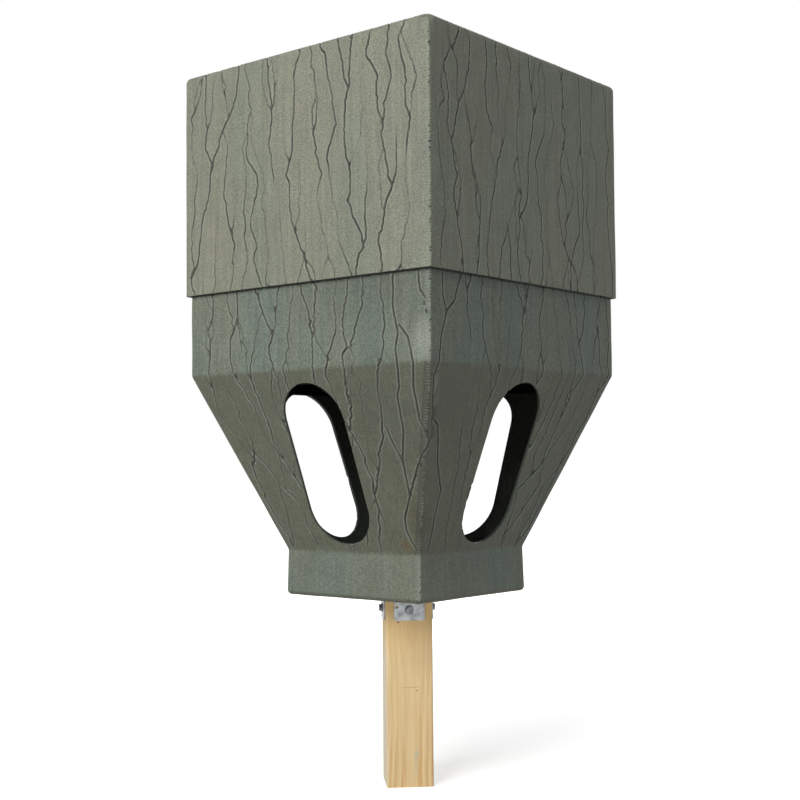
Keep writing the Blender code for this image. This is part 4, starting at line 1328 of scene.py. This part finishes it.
def pine():
    made, tree = new_material("sawn_pine")
    source = put(tree, "TexCoord").outputs
    turn = (0.0, 0.0, math.radians(-45))
    place = put(tree, "Mapping", {"Vector": source["Object"], "Rotation": turn}).outputs[0]
    slow = put(tree, "Mapping", {"Vector": place, "Scale": (6, 6, 3.2)}).outputs[0]
    bend = put(tree, "TexNoise", {"Vector": slow, "Scale": 1.0, "Detail": 2.0}).outputs["Color"]
    bend = put(tree, "VectorMath", {0: bend, 1: (0.5, 0.5, 0.5)}, operation="SUBTRACT").outputs[0]
    bent = put(tree, "VectorMath", {0: place, 1: shade(tree, 0.024, bend)}, operation="ADD").outputs[0]
    around = put(tree, "VectorMath", {0: bent, 1: TREE_MIDDLE}, operation="SUBTRACT").outputs[0]
    flat = put(tree, "VectorMath", {0: around, 1: (1, 1, 0.02)}, operation="MULTIPLY").outputs[0]
    radius = put(tree, "VectorMath", {0: flat}, operation="LENGTH").outputs["Value"]
    turns = shade_value(tree, radius, 1 / RING_SPACING)
    phase = put(tree, "Math", {0: turns}, operation="FRACT").outputs[0]
    rise = ranged(tree, phase, 0.35, 0.88, 0, 1)
    fall = ranged(tree, phase, 0.90, 1.0, 1, 0)
    late = shade_value(tree, rise, fall)
    drawn_out = put(tree, "Mapping", {"Vector": place, "Scale": (1, 1, 0.02)}).outputs[0]
    fibres = noise_of(tree, drawn_out, 620.0, 3.0)
    share = ranged(tree, noise_of(tree, slow, 1.7, 2.0), 0.35, 0.65, 0.25, 0.85)
    base = mixed(tree, shade_value(tree, late, share), PINE_PALE, PINE_BAND)
    base = shade(tree, ranged(tree, fibres, 0.3, 0.7, 0.90, 1.08), base)
    links = {"Vector": source["Normal"], "Rotation": turn}
    facing = put(tree, "Mapping", links, vector_type="NORMAL").outputs[0]
    sideways = put(tree, "SeparateXYZ", {"Vector": facing}).outputs["X"]
    # One side paler and greyer: part weathering, part painted light.
    base = mixed(tree, ranged(tree, sideways, -0.4, -0.8, 0, 0.75), base, PINE_BLEACHED_AND_LIT)
    height = put(tree, "SeparateXYZ", {"Vector": place}).outputs["Z"]
    # Painted light on the post's top, in the hopper's shadow.
    base = mixed(tree, ranged(tree, height, 0.235, 0.335, 0, 1), base, PINE_TOP_PAINTED_LIGHT)
    front = -0.0445
    stain = mark(tree, place, (0.012, front, 0.062), (0.006, 0.01, 0.012), 0.9)
    tail = mark(tree, place, (0.010, front, 0.040), (0.003, 0.01, 0.030), 0.9)
    base = mixed(tree, shade_value(tree, stain, 0.5), base, PINE_STAIN)
    base = mixed(tree, shade_value(tree, tail, 0.3), base, PINE_STAIN)
    scratch = mark(tree, place, (0.002, front, 0.188), (0.024, 0.01, 0.0008), 0.6)
    base = mixed(tree, shade_value(tree, scratch, 0.35), base, PINE_DARK)
    for centre, size in (((-0.021, front, 0.3115), 0.0022), ((0.0133, front, 0.182), 0.0016)):
        hole = mark(tree, place, centre, (size, 0.01, size), 0.4)
        base = mixed(tree, shade_value(tree, hole, 0.85), base, PINE_DARK)
    height = put(tree, "Math", {0: fibres, 1: late}, operation="SUBTRACT").outputs[0]
    finish_shader(tree, base, ranged(tree, late, 0, 1, 0.72, 0.60), height, 0.30, 0.0006, 0.0, 0.3)
    return made


# %% [markdown]
# The pieces that keep the imported model's own shape only need a finish. Each has a slot in the record, and the
# slot says which one. The brackets are brighter than the screws, washers and nuts, whose darker zinc is painted
# shade.

# %% Dress the remaining nodes
zinc = zinc_steel("weathered_bracket_zinc", *BRACKET_ZINC)
dark_zinc = zinc_steel("shaded_fastener_zinc", *SHADED_FASTENER_ZINC)
finishes = {"liner_plastic": liner_plastic(), "zinc_steel": dark_zinc, "timber": pine()}
slot_of = {part["node"]: part["material_slot"] for part in frame["record"]["subparts"]}
for name, node in frame["nodes"].items():
    node.data.materials.clear()
    is_bracket = name.startswith("bracket_") and "nut" not in name
    node.data.materials.append(zinc if is_bracket else finishes.get(slot_of[name], plastic))
print("dressed", len(frame["nodes"]), "nodes")

# %% [markdown]
# The camera stands where the photographer stood: a little below the middle of the feeder, turned to see two
# of its faces, and tipped up slightly. These few numbers were fitted to the corners of the moulding.

# %% Camera
CAMERA_LENS = 60.444
CAMERA_AZIMUTH = math.radians(39.2804)
CAMERA_DISTANCE = 2.6256
CAMERA_HEIGHT = UNDERSIDE + 0.2527
CAMERA_YAW = math.radians(-0.2242)
CAMERA_PITCH = math.radians(2.6451)
CAMERA_ROLL = math.radians(-0.4428)


def turned(a, b, angle):
    """Two directions turned in their own plane, the first towards the second."""
    return a * math.cos(angle) + b * math.sin(angle), b * math.cos(angle) - a * math.sin(angle)


def make_camera():
    ahead = Vector((-math.sin(CAMERA_AZIMUTH), math.cos(CAMERA_AZIMUTH), 0))
    right = Vector((math.cos(CAMERA_AZIMUTH), math.sin(CAMERA_AZIMUTH), 0))
    up = Vector((0, 0, 1))
    ahead, right = turned(ahead, right, CAMERA_YAW)
    ahead, up = turned(ahead, up, CAMERA_PITCH)
    right, up = turned(right, up, CAMERA_ROLL)
    camera = bpy.data.objects.new("camera", bpy.data.cameras.new("camera"))
    scene.collection.objects.link(camera)
    camera.data.sensor_width = 36.0
    camera.data.lens = CAMERA_LENS
    turn = Matrix((right, up, -ahead)).transposed().to_4x4()
    spot = (math.sin(CAMERA_AZIMUTH), -math.cos(CAMERA_AZIMUTH))
    place = Vector((CAMERA_DISTANCE * spot[0], CAMERA_DISTANCE * spot[1], CAMERA_HEIGHT))
    camera.matrix_world = Matrix.Translation(place) @ turn
    scene.camera = camera
    return camera


camera = make_camera()
print("camera at", tuple(round(x, 3) for x in camera.location))

# %% [markdown]
# The feeder stands on a pale floor in soft light. A large lamp to the left is the strongest, so that the
# left face is bright and the right face falls off, as they do outdoors under a bright sky. The white
# background comes from the floor and the world, as the camera and reflections see them.

# %% Floor, world and lamps
GLOW_NEAR = 0.55
GLOW_FAR = 1.0
SKY_LEVEL = 0.178
LAMP_AIM = Vector((0, 0, 0.85))


def make_floor():
    bpy.ops.object.select_all(action="DESELECT")
    bpy.ops.mesh.primitive_plane_add(size=60, location=(0, 0, 0))
    floor = bpy.context.object
    floor.name = "studio_floor"
    made, tree = new_material("pale_floor")
    lit = put(tree, "BsdfDiffuse", {"Color": colour(0.80, 0.80, 0.80)}).outputs[0]
    spot = put(tree, "TexCoord").outputs["Object"]
    away = put(tree, "VectorMath", {0: spot}, operation="LENGTH").outputs["Value"]
    strength = ranged(tree, away, 0.2, 2.0, GLOW_NEAR, GLOW_FAR)
    glow = put(tree, "Emission", {"Color": colour(1, 1, 1), "Strength": strength}).outputs[0]
    seen = put(tree, "AddShader", {0: lit, 1: glow}).outputs[0]
    mix = put(tree, "MixShader", {0: seen_share(tree), 1: lit, 2: seen}).outputs[0]
    put(tree, "OutputMaterial", {"Surface": mix})
    floor.data.materials.append(made)
    floor.select_set(False)


def seen_share(tree):
    """1 for rays from the camera and rays that metal and glass send on, 0 for light on the object."""
    rays = put(tree, "LightPath").outputs
    seen = rays["Is Camera Ray"]
    for kind in ("Is Glossy Ray", "Is Transmission Ray"):
        seen = put(tree, "Math", {0: seen, 1: rays[kind]}, operation="MAXIMUM").outputs[0]
    return seen


def make_world():
    world = bpy.data.worlds.new("studio")
    world.use_nodes = True
    tree = world.node_tree
    tree.nodes.clear()
    soft = put(tree, "Background", {"Color": colour(0.93, 0.96, 1.0), "Strength": SKY_LEVEL}).outputs[0]
    white = put(tree, "Background", {"Color": colour(1, 1, 1), "Strength": 1.0}).outputs[0]
    mix = put(tree, "MixShader", {0: seen_share(tree), 1: soft, 2: white}).outputs[0]
    put(tree, "OutputWorld", {"Surface": mix})
    scene.world = world


def lamp(name, place, size, power, warmth):
    data = bpy.data.lights.new(name, "AREA")
    data.shape, data.size, data.energy, data.color = "SQUARE", size, power, warmth
    made = bpy.data.objects.new(name, data)
    made.location = place
    made.rotation_mode = "QUATERNION"
    made.rotation_quaternion = (LAMP_AIM - Vector(place)).to_track_quat("-Z", "Y")
    scene.collection.objects.link(made)


make_floor()
make_world()
lamp("key_left", (0.62, -4.45, 3.2), 3.0, 250.0, (1.0, 0.985, 0.95))
lamp("rim_right", (3.6, 3.2, 3.0), 1.2, 3.0, (0.94, 0.97, 1.0))
lamp("back_fill", (-3.2, 3.9, 2.6), 2.4, 95.0, (1.0, 0.99, 0.97))
scene.view_settings.view_transform = "Standard"
